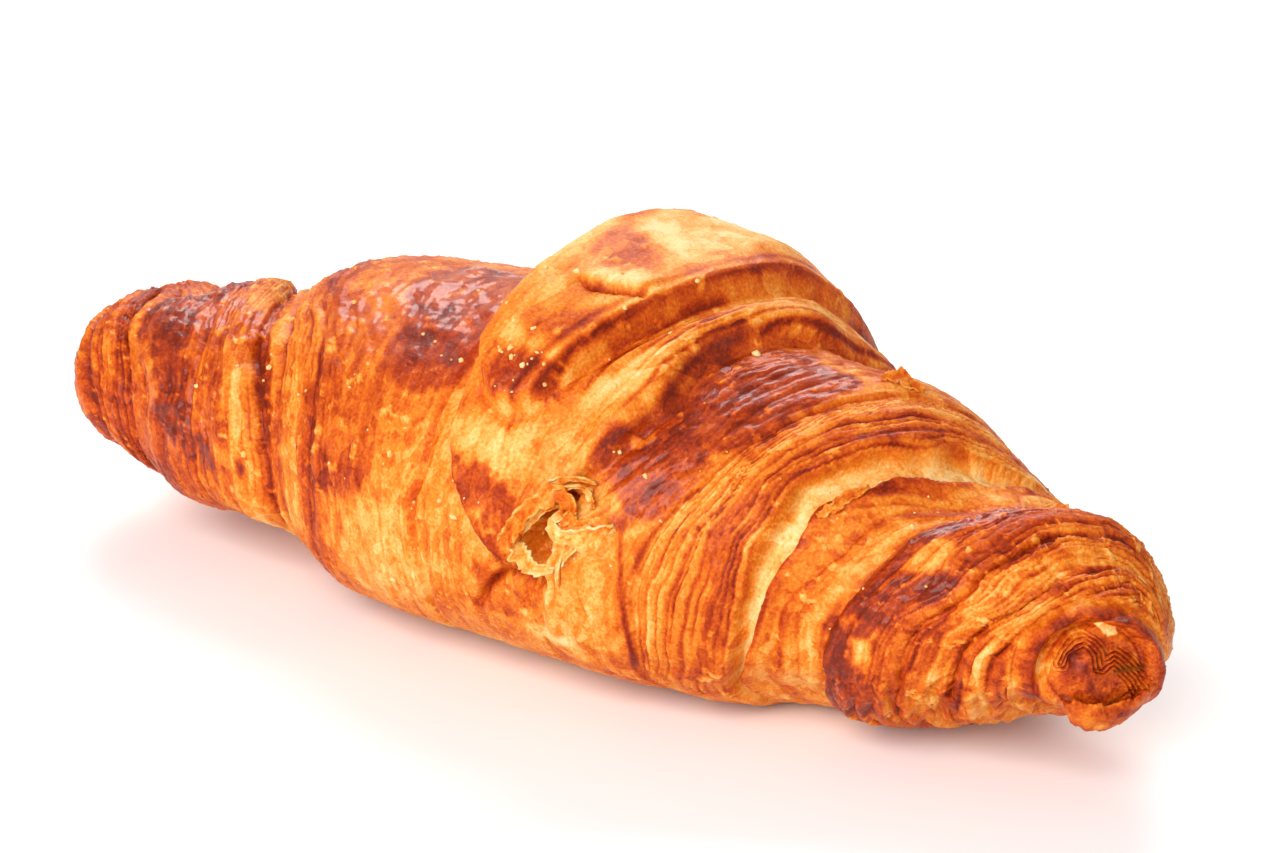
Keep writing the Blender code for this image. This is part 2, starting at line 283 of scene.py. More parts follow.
# Patches of glaze and colour: browning, glaze, raggedness in millimetres, outline as
# (along, angle) points.
PATCHES = (
    # The left side: pink-brown glaze on the shoulder, and its spots.
    (0.62, 0.9, 1.6, ((-39, 58), (-36, 80), (-30, 84), (-25.5, 72), (-25, 56), (-26, 44), (-31, 40),
     (-35, 47))),
    (0.76, 1.0, 2.4, ((-32, 78), (-30, 100), (-14, 100), (-9, 78), (-9.5, 60), (-10, 44), (-14, 38),
     (-20, 40), (-24, 50), (-26, 60), (-27, 68))),
    (0.94, 1.0, 2.0, ((-29, 75), (-20, 71), (-12, 62), (-11, 52), (-17, 47), (-21, 52), (-25, 60))),
    (0.6, 0.4, 3.0, ((-31, 42), (-12, 42), (-9, 26), (-15, 12), (-29, 14), (-31, 30))),
    (0.74, 0.3, 3.0, ((-28, 14), (-20, 15), (-18, 7), (-21, 2), (-28, 4))),
    (0.66, 0.2, 1.2, ((-24, -8), (-22, -8), (-21, -15), (-23, -17))),
    (0.3, 0.2, 2.5, ((-19, 6), (-12, 8), (-6, -14), (-10, -30), (-22, -28), (-24, -10))),
    (0.5, 0.3, 2.0, ((-19, 34), (-13, 36), (-11, 14), (-15, 4), (-18, 14))),
    # The left end: dark glaze down the side of the narrow part.
    (0.64, 0.8, 2.6, ((-77, 60), (-72, 84), (-60, 76), (-54, 60), (-51, 40), (-52, 20), (-50, 0),
     (-60, -4), (-68, 12), (-74, 40))),
    (0.84, 1.0, 2.4, ((-76, 66), (-75, 94), (-66, 98), (-64, 76), (-66, 60), (-76, 50))),
    (0.93, 1.0, 2.2, ((-76, 62), (-66, 64), (-64, 50), (-61, 34), (-57.5, 18), (-54, 4), (-47, -3),
     (-52, -5), (-60, 0), (-65, 14), (-68, 32), (-74, 44))),
    (0.74, 0.3, 2.6, ((-73, 10), (-64, 6), (-60, -8), (-62, -40), (-70, -44), (-74, -20))),
    # The upper fold of the last wrap: dark blunt tip, orange streaks and a pale crown.
    (0.62, 0.35, 1.6, ((2, 57), (9, 58), (14, 66), (17, 80), (19, 100), (20.5, 118), (17, 118),
     (16, 100), (13.5, 82), (10, 70), (5, 62), (1, 60))),
    (0.86, 0.35, 1.3, ((0.4, 46), (1, 53), (5, 56), (9.6, 52), (10, 47), (7, 43), (3, 42))),
    (0.1, 0.05, 2.6, ((2, 92), (12, 88), (13, 102), (15, 122), (4, 124), (-1, 106))),
    (0.52, 0.2, 1.8, ((-3, 82), (3, 80), (14, 80), (11, 87), (2, 92), (-3, 98))),
    (0.14, 0.05, 1.6, ((-5, 70), (-0.6, 72), (0.8, 80), (0.2, 90), (-3, 97), (-7, 84))),
    # The lower fold: pale dough, browned along its tip.
    (0.28, 0.05, 3.0, ((-1, 38), (8, 39), (11, 31), (6, 23), (0, 28))),
    (0.2, 0.05, 1.8, ((13, 44), (19, 56), (20, 72), (17, 68), (14, 56))),
    (0.84, 0.12, 1.4, ((-2.4, 28), (-0.6, 27), (3.4, 15), (7.0, 8), (9.4, 6), (8.6, -2), (6.4, -1),
     (1, 10))),
    (0.72, 0.12, 3.2, ((-1.6, 25), (3, 27), (8, 21), (10, 12), (9.6, 4), (4, 8))),
    # The dark glaze beside the last wrap.
    (0.84, 0.9, 1.6, ((16.6, 35), (19, 45), (21.3, 54), (21.6, 66), (21.4, 78), (23.4, 88), (26.4, 99),
     (29, 107), (30, 99), (32, 94), (37, 97), (39.5, 90), (37, 74), (34, 56), (32, 44), (30, 33),
     (28.5, 24), (25, 19), (22, 24))),
    (0.86, 1.0, 2.0, ((20.5, 42), (22, 58), (22, 78), (29, 84), (33, 78), (31, 60), (29, 46),
     (25, 38))),
    (0.66, 0.5, 1.6, ((24, 88), (30, 95), (39, 99), (41, 112), (34, 118), (27, 106))),
    # The dough under the torn place. Just below the shelf crack it is darker, partly its own brown and
    # partly painted shade.
    (0.66, 0.1, 1.6, ((2, -3), (9, -5), (14, -4), (14, -9), (9, -15), (3, -18))),
    (0.36, 0.1, 3.0, ((16, 18), (22.5, 18), (23.5, 2), (23, -20), (16, -20), (14.5, -2))),
    (0.62, 0.5, 1.8, ((18, 22), (23, 24), (26, 19), (24.6, 14.6), (20, 15))),
    (0.06, 0.0, 1.4, ((9, -19), (16, -18), (17, -24), (10, -26))),
    (0.62, 0.2, 1.4, ((11, -29), (21, -27), (21, -37), (12, -37))),
    (0.5, 0.2, 2.0, ((-4, -12), (4, -18), (8, -30), (0, -36), (-8, -26))),
    # The crown of the right side: dark glaze, with pale chips where it flaked off.
    (0.95, 1.0, 2.0, ((50.2, -30), (50.6, -8), (52.6, 8), (55, 17), (59, 26), (64, 36), (67, 34),
     (64, 20), (60.5, 10), (57, 3), (56, -8), (57, -22), (56, -34), (52, -36))),
    (0.92, 1.0, 1.6, ((56.5, 40), (58.5, 52), (60.5, 66), (64, 80), (67, 92), (69.5, 90), (67.5, 76),
     (64.5, 62), (62, 50), (60, 40))),
    (0.28, 0.0, 0.8, ((54.6, 1), (57.6, 1.5), (57.8, -5), (55, -6.5))),
    (0.34, 0.05, 1.4, ((59, 33), (63, 36), (65.5, 49), (62.5, 51), (60, 42))),
    (0.42, 0.1, 0.8, ((52, 7), (54.5, 11), (56, 9), (53.5, 4))),
    (0.3, 0.05, 1.6, ((66.6, 20), (69, 22), (73.5, 45), (76.5, 62), (77.5, 76), (74.5, 66),
     (70.8, 46))),
)


def edge_at(around, points, flow):
    """Where an edge lies at each angle: its own points, carried round the roll by the flow."""
    angles, places = np.array(points, float).T
    stray = places - curve_at(angles, flow)
    rounded = sum(weight * np.interp(around + offset, angles, stray, period=360.0)
                  for offset, weight in ((-5.0, 0.25), (0.0, 0.5), (5.0, 0.25)))
    return curve_at(around, flow) + rounded


def line_at(around, points):
    """The same for an edge whose points go all the way round."""
    angles, places = np.array(points, float).T
    return sum(weight * np.interp(around + offset, angles, places, period=360.0)
               for offset, weight in ((-3.0, 0.25), (0.0, 0.5), (3.0, 0.25)))


def layer_places(along, row, first, edges, flow, half_length):
    """The place across the layers: whole numbers at the edges, even between them. Also how
    far from the middle that place is at the front."""
    lines = [first] + [edge_at(row, points, flow) for points in edges]
    lines.append(np.full_like(row, half_length))
    fronts = [0.0 if flow is LEFT_FLOW else LAST_WRAP_FRONT]
    fronts += [edge_at(0.0, points, flow) for points in edges] + [half_length]
    place = np.zeros_like(along)
    for number, (near, far) in enumerate(zip(lines[:-1], lines[1:])):
        share = (along - near) / np.maximum(far - near, 0.5)
        place = np.where(along > near, number + np.clip(share, 0.0, 1.0), place)
    return place, np.interp(place, range(len(fronts)), fronts)


def inside(along, around, outline):
    """Distance in millimetres inside an outline on the skin, negative outside it."""
    corners = np.array(outline, float) * (1.0, DEGREE)
    x, y = along, around * DEGREE
    nearest = np.full(np.broadcast(x, y).shape, 1e9)
    within = np.zeros(nearest.shape, bool)
    for (x0, y0), (x1, y1) in zip(corners, np.roll(corners, -1, axis=0)):
        run_x, run_y = x1 - x0, y1 - y0
        share = ((x - x0) * run_x + (y - y0) * run_y) / (run_x * run_x + run_y * run_y)
        share = np.clip(share, 0.0, 1.0)
        nearest = np.minimum(nearest, np.hypot(x - x0 - share * run_x, y - y0 - share * run_y))
        if y0 != y1:
            crosses = (y0 > y) != (y1 > y)
            within ^= crosses & (x < x0 + (y - y0) * run_x / run_y)
    return np.where(within, nearest, -nearest)


def stretched_layers(place, turn, width, seed):
    """Thin overlapping layers of uneven width: the share across one, its tone and its lift."""
    generator = np.random.default_rng(seed)
    widths = width * generator.lognormal(0.0, 0.42, 240)
    edges = np.cumsum(widths) - 0.3 * widths.sum()
    warped = place + 0.8 * width ** 0.5 * noise(place / 8.0, turn, 9, seed)
    warped += 0.35 * width ** 0.5 * noise(place / 2.5, turn, 30, seed + 1)
    number = np.clip(np.searchsorted(edges, warped) - 1, 0, 238)
    share = np.clip((warped - edges[number]) / widths[number + 1], 0.0, 1.0)
    tone = noise(number.astype(float), turn, 12, seed + 2)
    lift = 0.5 + 0.5 * noise(number.astype(float), turn, 18, seed + 3)
    return share, tone, lift


# Hollows between the wraps: place at the front, half width and depth.
RIGHT_HOLLOWS = ((43.5, 6.0, 1.5), (67.5, 4.5, 1.2), (78.0, 3.0, 0.8))
LEFT_HOLLOWS = ((40.0, 5.5, 1.5), (69.5, 4.5, 1.0), (78.0, 3.0, 0.6))
# Swellings and dips of the whole roll: the angles at which they start, are full, start to fade
# and are gone, then place, half width and height of each.
SWELLINGS = (
    ((62.0, 94.0, 150.0, 185.0), ((-75.0, 5.0, -4.2),)),
    ((100.0, 118.0, 150.0, 180.0), ((12.5, 5.0, 1.5), (29.0, 5.5, -2.4))),
    ((40.0, 80.0, 140.0, 180.0), ((-63.0, 8.0, -1.3), (58.0, 7.0, -2.0), (-25.0, 14.0, -0.7),
                                  (34.0, 6.0, -0.8))),
    ((-88.0, -60.0, -45.0, -12.0), ((77.0, 6.0, -3.6), (-49.0, 9.0, -3.6), (43.0, 6.0, -1.2))),
)
# The last wrap: its heights, each with the angles over which it rises, the angles over which
# it sinks into the roll behind, and how much sooner it does so on its right.
WRAP_RISES = ((4.4, -14.0, 6.0), (3.4, 15.0, 70.0))
WRAP_SINK = (112.0, 205.0)
WRAP_SINKS_SOONER = 8.0
WRAP_SLOPE = 0.66
WRAP_FLOW = 12.0
LIP_INSET = 2.2
LIP_HALF_WIDTH = 1.9
# The upper fold of the last wrap: its height, and the angle and place of its blunt tip.
FOLD_HEIGHT = 2.6
FOLD_TIP_ANGLE = 40.0
FOLD_TIP_PLACE = 4.6
# Behind, each wrap starts pale and stretched and ends brown: the angles where this shows, and
# the wraps' width along the flow.
BEHIND = (112.0, 150.0, 225.0, 255.0)
WRAP_WIDTH = 21.0
# Lines on the front, as (angle, along) points, and a slit in the fold, as (along, angle).
CREASE = ((-20.0, 1.0), (-10.0, 4.0), (-2.0, 8.5), (3.0, 6.0), (12.0, 1.4), (22.0, -1.8),
          (30.0, -3.6))
SLIT = ((4.0, 73.0), (6.0, 72.0), (10.0, 74.5), (14.0, 77.0))
# Widths of the stretched layers and of the waves low on the right side. The thin layers are
# about twice as wide as the thinnest real ones, so that they show.
THIN_LAYER = 1.05
BROAD_LAYER = 3.1
WAVE_SPACING = 2.9
# How brown the last wrap is where no patch lies on it, and bare torn dough. How strongly the
# layers show on the last wrap.
LAST_WRAP_BROWNING = 0.38
BARE_DOUGH = 0.12
LAST_WRAP_LAYERING = 0.3


class Skin:
    """Places on the crust, and what the features on it share: slow and fine noise, the place
    across the layers, and how far the layers' flow has carried each place."""

    def __init__(self, along, around, half_length):
        turn = (around / 360.0) % 1.0
        waver = 1.0 - 0.7 * smooth_step(np.abs(along), 68.0, 78.0)
        self.along, self.around, self.turn = along, around, turn
        self.x = along + waver * (0.7 * noise(along / 9.0, turn, 22, 11)
                                  + 0.25 * noise(along / 3.0, turn, 44, 12))
        self.calm_x = along + 0.4 * noise(along / 9.0, turn, 18, 13)
        self.blotch = rough(along / 5.0, turn, 34, 51, 4)
        self.ragged = rough(along / 1.7, turn, 110, 31)
        row = around[:1]
        self.edge_left = line_at(row, LAST_WRAP_LEFT)
        self.edge_right = line_at(row, LAST_WRAP_RIGHT)
        self.fold_edge = line_at(row, FOLD_EDGE)
        self.right_place, self.right_flow = layer_places(
            self.x, row, self.edge_right, RIGHT_EDGES, RIGHT_FLOW, half_length)
        self.left_place, self.left_flow = layer_places(
            -self.x, row, 0.0 * row, LEFT_EDGES, LEFT_FLOW, half_length)
        self.left = self.x < 0.0
        self.outside = self.calm_x > self.edge_right
        self.inner = (self.calm_x > 0.0) & ~self.outside
        self.behind = between(around, *BEHIND)
        wrapped = np.where(self.left, self.left_flow, self.right_flow) / WRAP_WIDTH + 0.35
        self.wrapped = wrapped - np.floor(wrapped)
        self.facing_down = -np.sin(np.radians(around))
        self.place_on_last_wrap()
        self.streak = rough(self.flow / 0.9, turn, 14, 71, 3)

    def place_on_last_wrap(self):
        """The flow across the last wrap, and its fold, the blunt tip of it with the dip under it, which
        is painted darker as the tip's shadow, the hollow beside it, which is painted darker as shade,
        and the wrap's lip."""
        past_left = self.calm_x - self.edge_left
        self.past_fold = self.calm_x - self.fold_edge
        mid = np.clip(past_left / np.maximum(self.fold_edge - self.edge_left, 1.0), 0.0, 1.0)
        far = self.past_fold / np.maximum(self.edge_right - self.fold_edge, 1.0)
        wrap_flow = WRAP_FLOW * (mid + 0.5 * np.clip(far, 0.0, 1.0))
        self.flow = np.where(self.outside, self.right_flow,
                             np.where(self.left, -self.left_flow, wrap_flow))
        blunt_tip = FOLD_TIP_ANGLE + np.minimum(0.22 * (self.calm_x - FOLD_TIP_PLACE) ** 2, 12.0)
        past_tip = self.around - blunt_tip - 1.2 * self.blotch
        self.folded = smooth_step(past_tip, 0.0, 4.5)
        # The dip under the fold's blunt tip, where the crust is also painted darker as its shadow.
        self.dip_and_painted_shadow_under_tip = groove(past_tip + 1.6, 1.6) * (self.calm_x > 0.0) * (self.calm_x < 10.0)
        # The hollow at the fold's foot, where its layers show more and the crust is painted darker as
        # shade.
        self.under_fold = self.inner * groove(self.past_fold - 1.2, 2.2) * smooth_step(
            self.around, 46.0, 56.0)
        near_lip = smooth_step(self.calm_x, self.edge_right - 5.0, self.edge_right - 2.0)
        self.at_lip = self.inner * near_lip * smooth_step(self.around, 30.0, 50.0)

    def across(self, right_table, left_table, on_last_wrap):
        """The tables' values across the layers of both sides, and one on the last wrap."""
        right = np.interp(self.right_place, *np.array(right_table).T)
        left = np.interp(self.left_place, *np.array(left_table).T)
        return np.where(self.outside, right, np.where(self.left, left, on_last_wrap))


def between(value, start, full, fade, gone):
    """0 before start and after gone, and 1 from full to fade."""
    return smooth_step(value, start, full) * (1.0 - smooth_step(value, fade, gone))


def groove(distance, half_width):
    """1 on a line, and less and less on both sides of it."""
    return np.exp(-(distance / half_width) ** 2)


def rows_of_grooves(place, rows):
    """The sum of several grooves, each with its middle, half width and height."""
    return sum(height * groove(place - middle, half_width) for middle, half_width, height in rows)


def layer_profile(share, lift):
    """A layer rises slowly to its lip and drops quickly to the next."""
    return lift * share ** 0.8 * (1.0 - smooth_step(share, 0.82, 1.0))


def last_wrap(skin):
    """The last wrap's height: a band with a steep left side, a lip on its right and a fold."""
    x, around = skin.calm_x, skin.around
    left, right = skin.edge_left, skin.edge_right
    span = np.clip((x - left) / np.maximum(right - left, 1.0), 0.0, 1.0)
    height = sum(rise * smooth_step(around, *angles) for rise, *angles in WRAP_RISES)
    sunk = WRAP_SINKS_SOONER * smooth_step(skin.x, 2.0, 12.0)
    sink = 1.0 - smooth_step(around, WRAP_SINK[0] - sunk, WRAP_SINK[1] - 3.0 * sunk)
    band = between(x, left - 1.6, left + 2.0, right - 1.0, right + 1.3)
    lip = groove(x - (right - LIP_INSET), LIP_HALF_WIDTH) * smooth_step(around, 26.0, 50.0)
    fold = FOLD_HEIGHT * skin.folded * (1.0 - smooth_step(skin.past_fold, -2.0, 0.3))
    fold -= 1.1 * skin.folded * groove(skin.past_fold - 0.9, 1.0) + 0.5 * skin.dip_and_painted_shadow_under_tip
    return band * sink * (height * (1.0 - WRAP_SLOPE * span ** 1.3) + lip + fold)


def torn_place(skin):
    """The place torn open beside the lower tip: its relief, and how far each part of it
    reaches: the hole, the small hole, the torn lump, the ridge and the pleat."""
    along, around, x = skin.along, skin.around, skin.x
    torn = smooth_step(inside(along, around, TORN_PLACE) + 0.7 * skin.ragged, -0.5, 1.5)
    small = smooth_step(inside(along, around, SMALL_HOLE) + 0.5 * skin.ragged, -0.3, 0.8)
    lump = smooth_step(inside(along, around, TORN_LUMP) + 0.9 * skin.ragged, -0.4, 0.8)
    ridge = groove(x - 14.9 - 0.05 * around, 0.8) * between(around, -24.0, -16.0, 3.0, 8.0)
    pleat = groove(x - 17.4, 0.7) * between(around, -26.0, -18.0, 4.0, 10.0)
    relief = 1.1 * lump - 4.6 * torn - 1.8 * small + 0.9 * ridge + 0.5 * pleat
    return relief, (torn, small, lump, ridge, pleat)


def creases(skin):
    """The crease and the shelf under the last wrap, and the slit in its fold: their relief, and how far
    each reaches, with the slit's raised lip. The crust is painted darker in them as shade, and paler on
    the slit's lip."""
    around, x = skin.around, skin.x
    crease = groove(x - np.interp(around, *np.array(CREASE).T) + 0.6, 0.9)
    crease = crease * between(around, -20.0, -14.0, 24.0, 34.0)
    shelf = groove(around + 2.2 + 1.6 * skin.blotch, 2.2) * between(x, 7.0, 8.5, 14.0, 15.5)
    slit_on = between(x, 3.5, 6.5, 11.5, 14.5)
    above = around - np.interp(x, *np.array(SLIT).T)
    slit = groove(above - 1.2 * skin.ragged, 0.9) * slit_on
    slit_lip = smooth_step(above - 1.2 * skin.ragged, 0.0, 1.4) * slit_on
    slit_lip = slit_lip * (1.0 - smooth_step(above, 2.0, 9.0))
    relief = 0.9 * slit_lip - 0.9 * slit - 1.5 * crease - 1.8 * shelf
    return relief, (crease, shelf, slit, slit_lip)


def wraps_and_swellings(skin):
    """Height of the wraps' steps and hollows, the last wrap and the roll's swellings."""
    hollows = -np.where(skin.left, rows_of_grooves(skin.left_flow, LEFT_HOLLOWS),
                        rows_of_grooves(skin.right_flow, RIGHT_HOLLOWS))
    steps = skin.across(RIGHT_HEIGHT, LEFT_HEIGHT, 0.0)
    shown = smooth_step(-skin.facing_down, -0.95, -0.55)
    relief = (hollows + steps) * shown + last_wrap(skin)
    for angles, rows in SWELLINGS:
        relief += between(skin.around, *angles) * rows_of_grooves(skin.along, rows)
    rising = (skin.wrapped - 0.5) * (1.0 - smooth_step(skin.wrapped, 0.9, 1.0))
    return relief + 0.9 * skin.behind * rising


def layers_shown(skin):
    """How strongly the stretched layers show at each place."""
    layering = skin.across(RIGHT_LAYERING, LEFT_LAYERING, LAST_WRAP_LAYERING)
    in_fold = skin.inner * skin.folded * (skin.past_fold < 0.0)
    layering = layering + 0.7 * skin.under_fold + 0.4 * skin.at_lip - 0.12 * in_fold
    stretched = 0.75 - 0.6 * smooth_step(skin.wrapped, 0.25, 0.6)
    return layering + skin.behind * (stretched - layering)


def fine_layers(skin):
    """The stretched layers, thin ones and broad ones: their relief, their lips, and how much
    browner the lips and some of the layers are."""
    layering = layers_shown(skin)
    share, tone, lift = stretched_layers(skin.flow, skin.turn, THIN_LAYER, 41)
    broad_share, broad_tone, broad_lift = stretched_layers(skin.flow, skin.turn, BROAD_LAYER, 47)
    thin, broad = layer_profile(share, lift), layer_profile(broad_share, broad_lift)
    fine = layering * (0.62 * thin + 0.6 * broad - 0.45) + 0.08 * skin.streak
    waves_on = smooth_step(-skin.around, 8.0, 30.0) * smooth_step(skin.x, 44.0, 52.0)
    waves_on = waves_on * (skin.around > -90.0)
    phase = 2.0 * math.pi * (skin.right_flow + 1.2 * skin.blotch) / WAVE_SPACING
    fine += 0.9 * waves_on * (0.5 + 0.5 * np.cos(phase) - 0.6)
    lips = groove(share - 0.72, 0.2) * lift
    broad_lips = groove(broad_share - 0.8, 0.14) * broad_lift
    browner = layering * (0.4 * lips + 0.14 * broad_lips + 0.14 * tone + 0.12 * broad_tone - 0.1)
    return fine, lips, browner


def bands_and_patches(skin):
    """Browning and glaze of the layers' bands, and of the patches over them, with the left side painted
    darker as shade.
    """
    brown = skin.across(RIGHT_BROWNING, LEFT_BROWNING, LAST_WRAP_BROWNING)
    brown += skin.behind * (0.34 + 0.38 * smooth_step(skin.wrapped, 0.2, 0.75) - brown)
    # The left side is painted a little darker, and its tip more so, as shade.
    brown += 0.14 * smooth_step(-skin.x, 76.0, 84.0) + 0.05 * smooth_step(-skin.x, 16.0, 30.0)
    glaze = 0.15 + 0.2 * smooth_step(brown, 0.4, 0.8)
    wander = 0.8 * skin.blotch + 0.45 * skin.streak + 0.3 * skin.ragged
    for level, gloss, raggedness, outline in PATCHES:
        depth = inside(skin.along, skin.around, outline) + raggedness * wander
        mask = smooth_step(depth, -1.0, 1.1)
        brown = brown + mask * (level - brown) * 0.92
        glaze = glaze + mask * (gloss - glaze)
    return brown, glaze


def fold_browning_and_shade(skin, lips):
    """How much darker the crust is made near the fold and the lip: painted shade at the fold's foot,
    where the layers' lips are also darker, browner lips at the wrap's lip, darker and paler streaks
    along the fold's edge, and painted shadow under the fold's blunt tip.
    """
    edge_streaks = (0.2 * groove(skin.past_fold + 1.5 + 0.5 * skin.streak, 0.5)
                    + 0.18 * groove(skin.past_fold + 3.4 + 0.6 * skin.streak, 0.45)
                    - 0.2 * groove(skin.past_fold + 2.4, 0.5))
    return (0.42 * skin.under_fold * lips + 0.18 * skin.under_fold
            + 0.12 * skin.at_lip * (0.4 + 2.0 * lips)
            + edge_streaks * skin.inner * skin.folded + 0.16 * skin.dip_and_painted_shadow_under_tip)


def crust_fields(along, around, half_length):
    """Relief along the radius, fine relief along the normal, browning and glaze."""
    skin = Skin(along, around, half_length)
    blotch, ragged, streak = skin.blotch, skin.ragged, skin.streak
    torn_relief, (torn, small, lump, ridge, pleat) = torn_place(skin)
    crease_relief, (crease, shelf, slit, slit_lip) = creases(skin)
    relief = wraps_and_swellings(skin) + torn_relief + crease_relief
    fine, lips, browner = fine_layers(skin)
    brown, glaze = bands_and_patches(skin)

    # The layers' lips bake dark. The crust at the fold's foot and under its tip, and in the crease, the
    # shelf crack and the slit, is painted darker as shade, and paler on the slit's raised lip.
    brown += browner + fold_browning_and_shade(skin, lips)
    brown += 0.08 * streak + 0.14 * blotch * (1.0 - 0.4 * glaze) + 0.06 * ragged
    brown += 0.35 * crease + 0.25 * shelf + 0.45 * slit - 0.25 * slit_lip

    # The torn place is pale at its edges. Its hole is painted darker than bare dough and the small hole
    # darker still, as shade in them.
    rim = groove(inside(along, around, TORN_PLACE) + 0.7 * ragged + 0.5, 0.7)
    brown += torn * (0.44 + 0.3 * ragged - brown) + 0.4 * small
    brown += (BARE_DOUGH - brown) * 0.6 * ridge
    # A darker line between the ridge and the pleat, painted as shade in the fold between them.
    brown += 0.16 * groove(skin.x - 16.2, 0.5) * (pleat + ridge)
    brown += (BARE_DOUGH - brown) * 0.75 * np.maximum(rim, lump * groove(lump - 0.4, 0.4))
    seam = groove(skin.x - 24.0, 0.3) * between(around, -32.0, -22.0, 18.0, 24.0)
    brown += 0.3 * seam
    fine -= 0.3 * seam

    # Plain underneath, wrinkled where glazed, chipped and pitted all over.
    base = smooth_step(skin.facing_down, 0.55, 0.8)
    brown = brown * (1.0 - 0.5 * base) + 0.5 * base * (0.42 + 0.2 * blotch)
    wrinkle = rough(skin.flow / 2.2, skin.turn, 44, 61, 3)
    fine += 0.46 * glaze * wrinkle + 0.14 * ragged * (1.0 - 0.5 * glaze)
    fine += 0.35 * torn * ragged + 0.5 * rim * ragged
    chipped = rough(along / 1.5, skin.turn, 120, 81, 3) + 0.35 * blotch
    chips = smooth_step(chipped, 0.56, 0.66) * (1.0 - torn)
    pits = smooth_step(-chipped, 0.6, 0.7)
    brown -= 0.3 * chips * smooth_step(brown, 0.35, 0.6)
    brown += 0.12 * pits
    fine -= 0.14 * chips + 0.1 * pits
    fine *= 1.0 - 0.8 * smooth_step(skin.facing_down, 0.9, 0.98)
    return relief, fine, np.clip(brown, 0.0, 1.0), np.clip(glaze, 0.0, 1.0)


# How far the mesh's rings lean along the layers' flow: (distance from the middle, share).
RIGHT_LEAN = ((-10, 0.0), (8, 1.2), (40, 1.3), (50, 1.7), (70, 1.4), (89, 1.1))
LEFT_LEAN = ((8, 0.0), (29, 1.38), (41, 1.36), (57, 0.8), (89, 0.8))
# How much closer the rings are at the right tip, and the places over which they close up.
TIP_RINGS_CLOSER = 1.2
TIP_RINGS_FROM = (74.0, 80.0)
# The soft edge of the flat patch underneath, and the crust's finish at its two end points.
PATCH_EDGE = 1.0
END_BROWNING = 0.7
END_GLAZE = 0.2
# The right end's face, wound from thin layers: where it looks, its middle on the skin, its
# radii, and its pleats, dimple and chip. Places on the face are in millimetres to the right
# and up, measured square to TIP_VIEW (azimuth, elevation).
TIP_FACE_AZIMUTH = 62.0
TIP_FACE_PLACE = (85.7, 7.5)
TIP_VIEW = (38.0, 23.0)
TIP_FACE_RADII = (9.3, 8.1)
TIP_FLATNESS = 0.8
TIP_FROM = 60.0
TIP_PLEATS = ((-4.0, 0.9), (-3.4, 2.2), (-2.5, 3.3), (-1.3, 3.8), (-0.2, 3.2), (0.7, 2.0),
              (0.9, 1.0), (1.1, 0.2), (1.8, 0.8), (2.7, 1.4), (3.9, 0.7), (5.8, -1.2), (6.6, -2.8))
TIP_PLEAT_SPACING = 0.56
TIP_DIMPLE = (-2.2, 1.2)
TIP_CHIP = ((0.1, 5.8), (1.0, 6.1), (3.0, 5.3), (3.3, 4.6), (1.9, 4.1), (1.2, 4.8))


def unit(vector):
    """Vectors brought to a length of 1."""
    return vector / np.maximum(np.linalg.norm(vector, axis=-1, keepdims=True), 1e-9)


def ring_places(half_length, count):
    """Places along the roll that are evenly spaced over its skin, caps included."""
    along = half_length * np.sin(np.linspace(-0.5, 0.5, 4001) * math.pi)
    front = outline_point(along, np.full_like(along, 0.0), half_length, 0.0)
    top = outline_point(along, np.full_like(along, 90.0), half_length, 0.0)
    step = np.hypot(np.linalg.norm(np.diff(front, axis=0), axis=1),
                    np.linalg.norm(np.diff(top, axis=0), axis=1))
    step = step * (1.0 + TIP_RINGS_CLOSER * smooth_step(along[1:], *TIP_RINGS_FROM))
    travelled = np.concatenate([[0.0], np.cumsum(step)])
    wanted = np.linspace(0.0, travelled[-1], count + 2)[1:-1]
    return np.interp(wanted, travelled, along)


def lean_rings(place, around, half_length):
    """Leans the rings outwards over the top, so that they run along the dough's layers."""
    leaning = place
    for side, flow, lean in ((1.0, RIGHT_FLOW, RIGHT_LEAN), (-1.0, LEFT_FLOW, LEFT_LEAN)):
        room = half_length - side * place
        pull = curve_at(around, flow) * curve_at(side * place, lean, 3.0)
        share = np.where(pull < 0.0, 0.2 * np.tanh(pull / (0.2 * room)), pull / room)
        leaning = leaning + side * room * (1.0 - np.exp(-share))
    return leaning


def grid_normals(points):
    """Outward normals of a grid of rings."""
    across = np.gradient(points, axis=0)
    around = np.roll(points, -1, axis=1) - np.roll(points, 1, axis=1)
    return unit(np.cross(around, across))


def compass(azimuth, elevation=0.0):
    """The direction towards this azimuth (0 is the front, 90 the right end) and elevation."""
    turn, rise = math.radians(azimuth), math.radians(elevation)
    return np.array([math.sin(turn) * math.cos(rise), -math.cos(turn) * math.cos(rise),
                     math.sin(rise)])


def tip_frame(half_length):
    """The middle of the right end's face, which way it looks, and its right, up and out."""
    place = [np.array([value]) for value in TIP_FACE_PLACE]
    centre = outline_point(*place, half_length, -0.6)[0]
    out = compass(*TIP_VIEW)
    right = compass(TIP_VIEW[0] + 90.0)
    return centre, compass(TIP_FACE_AZIMUTH), (right, np.cross(out, right), out)


def tip_point(u, v, proud, half_length):
    """A point over the right end's face, this far to the right, up, and proud of it."""
    centre, facing, (right, up, out) = tip_frame(half_length)
    w = (proud - u * (facing @ right) - v * (facing @ up)) / (facing @ out)
    return centre + u[..., None] * right + v[..., None] * up + w[..., None] * out


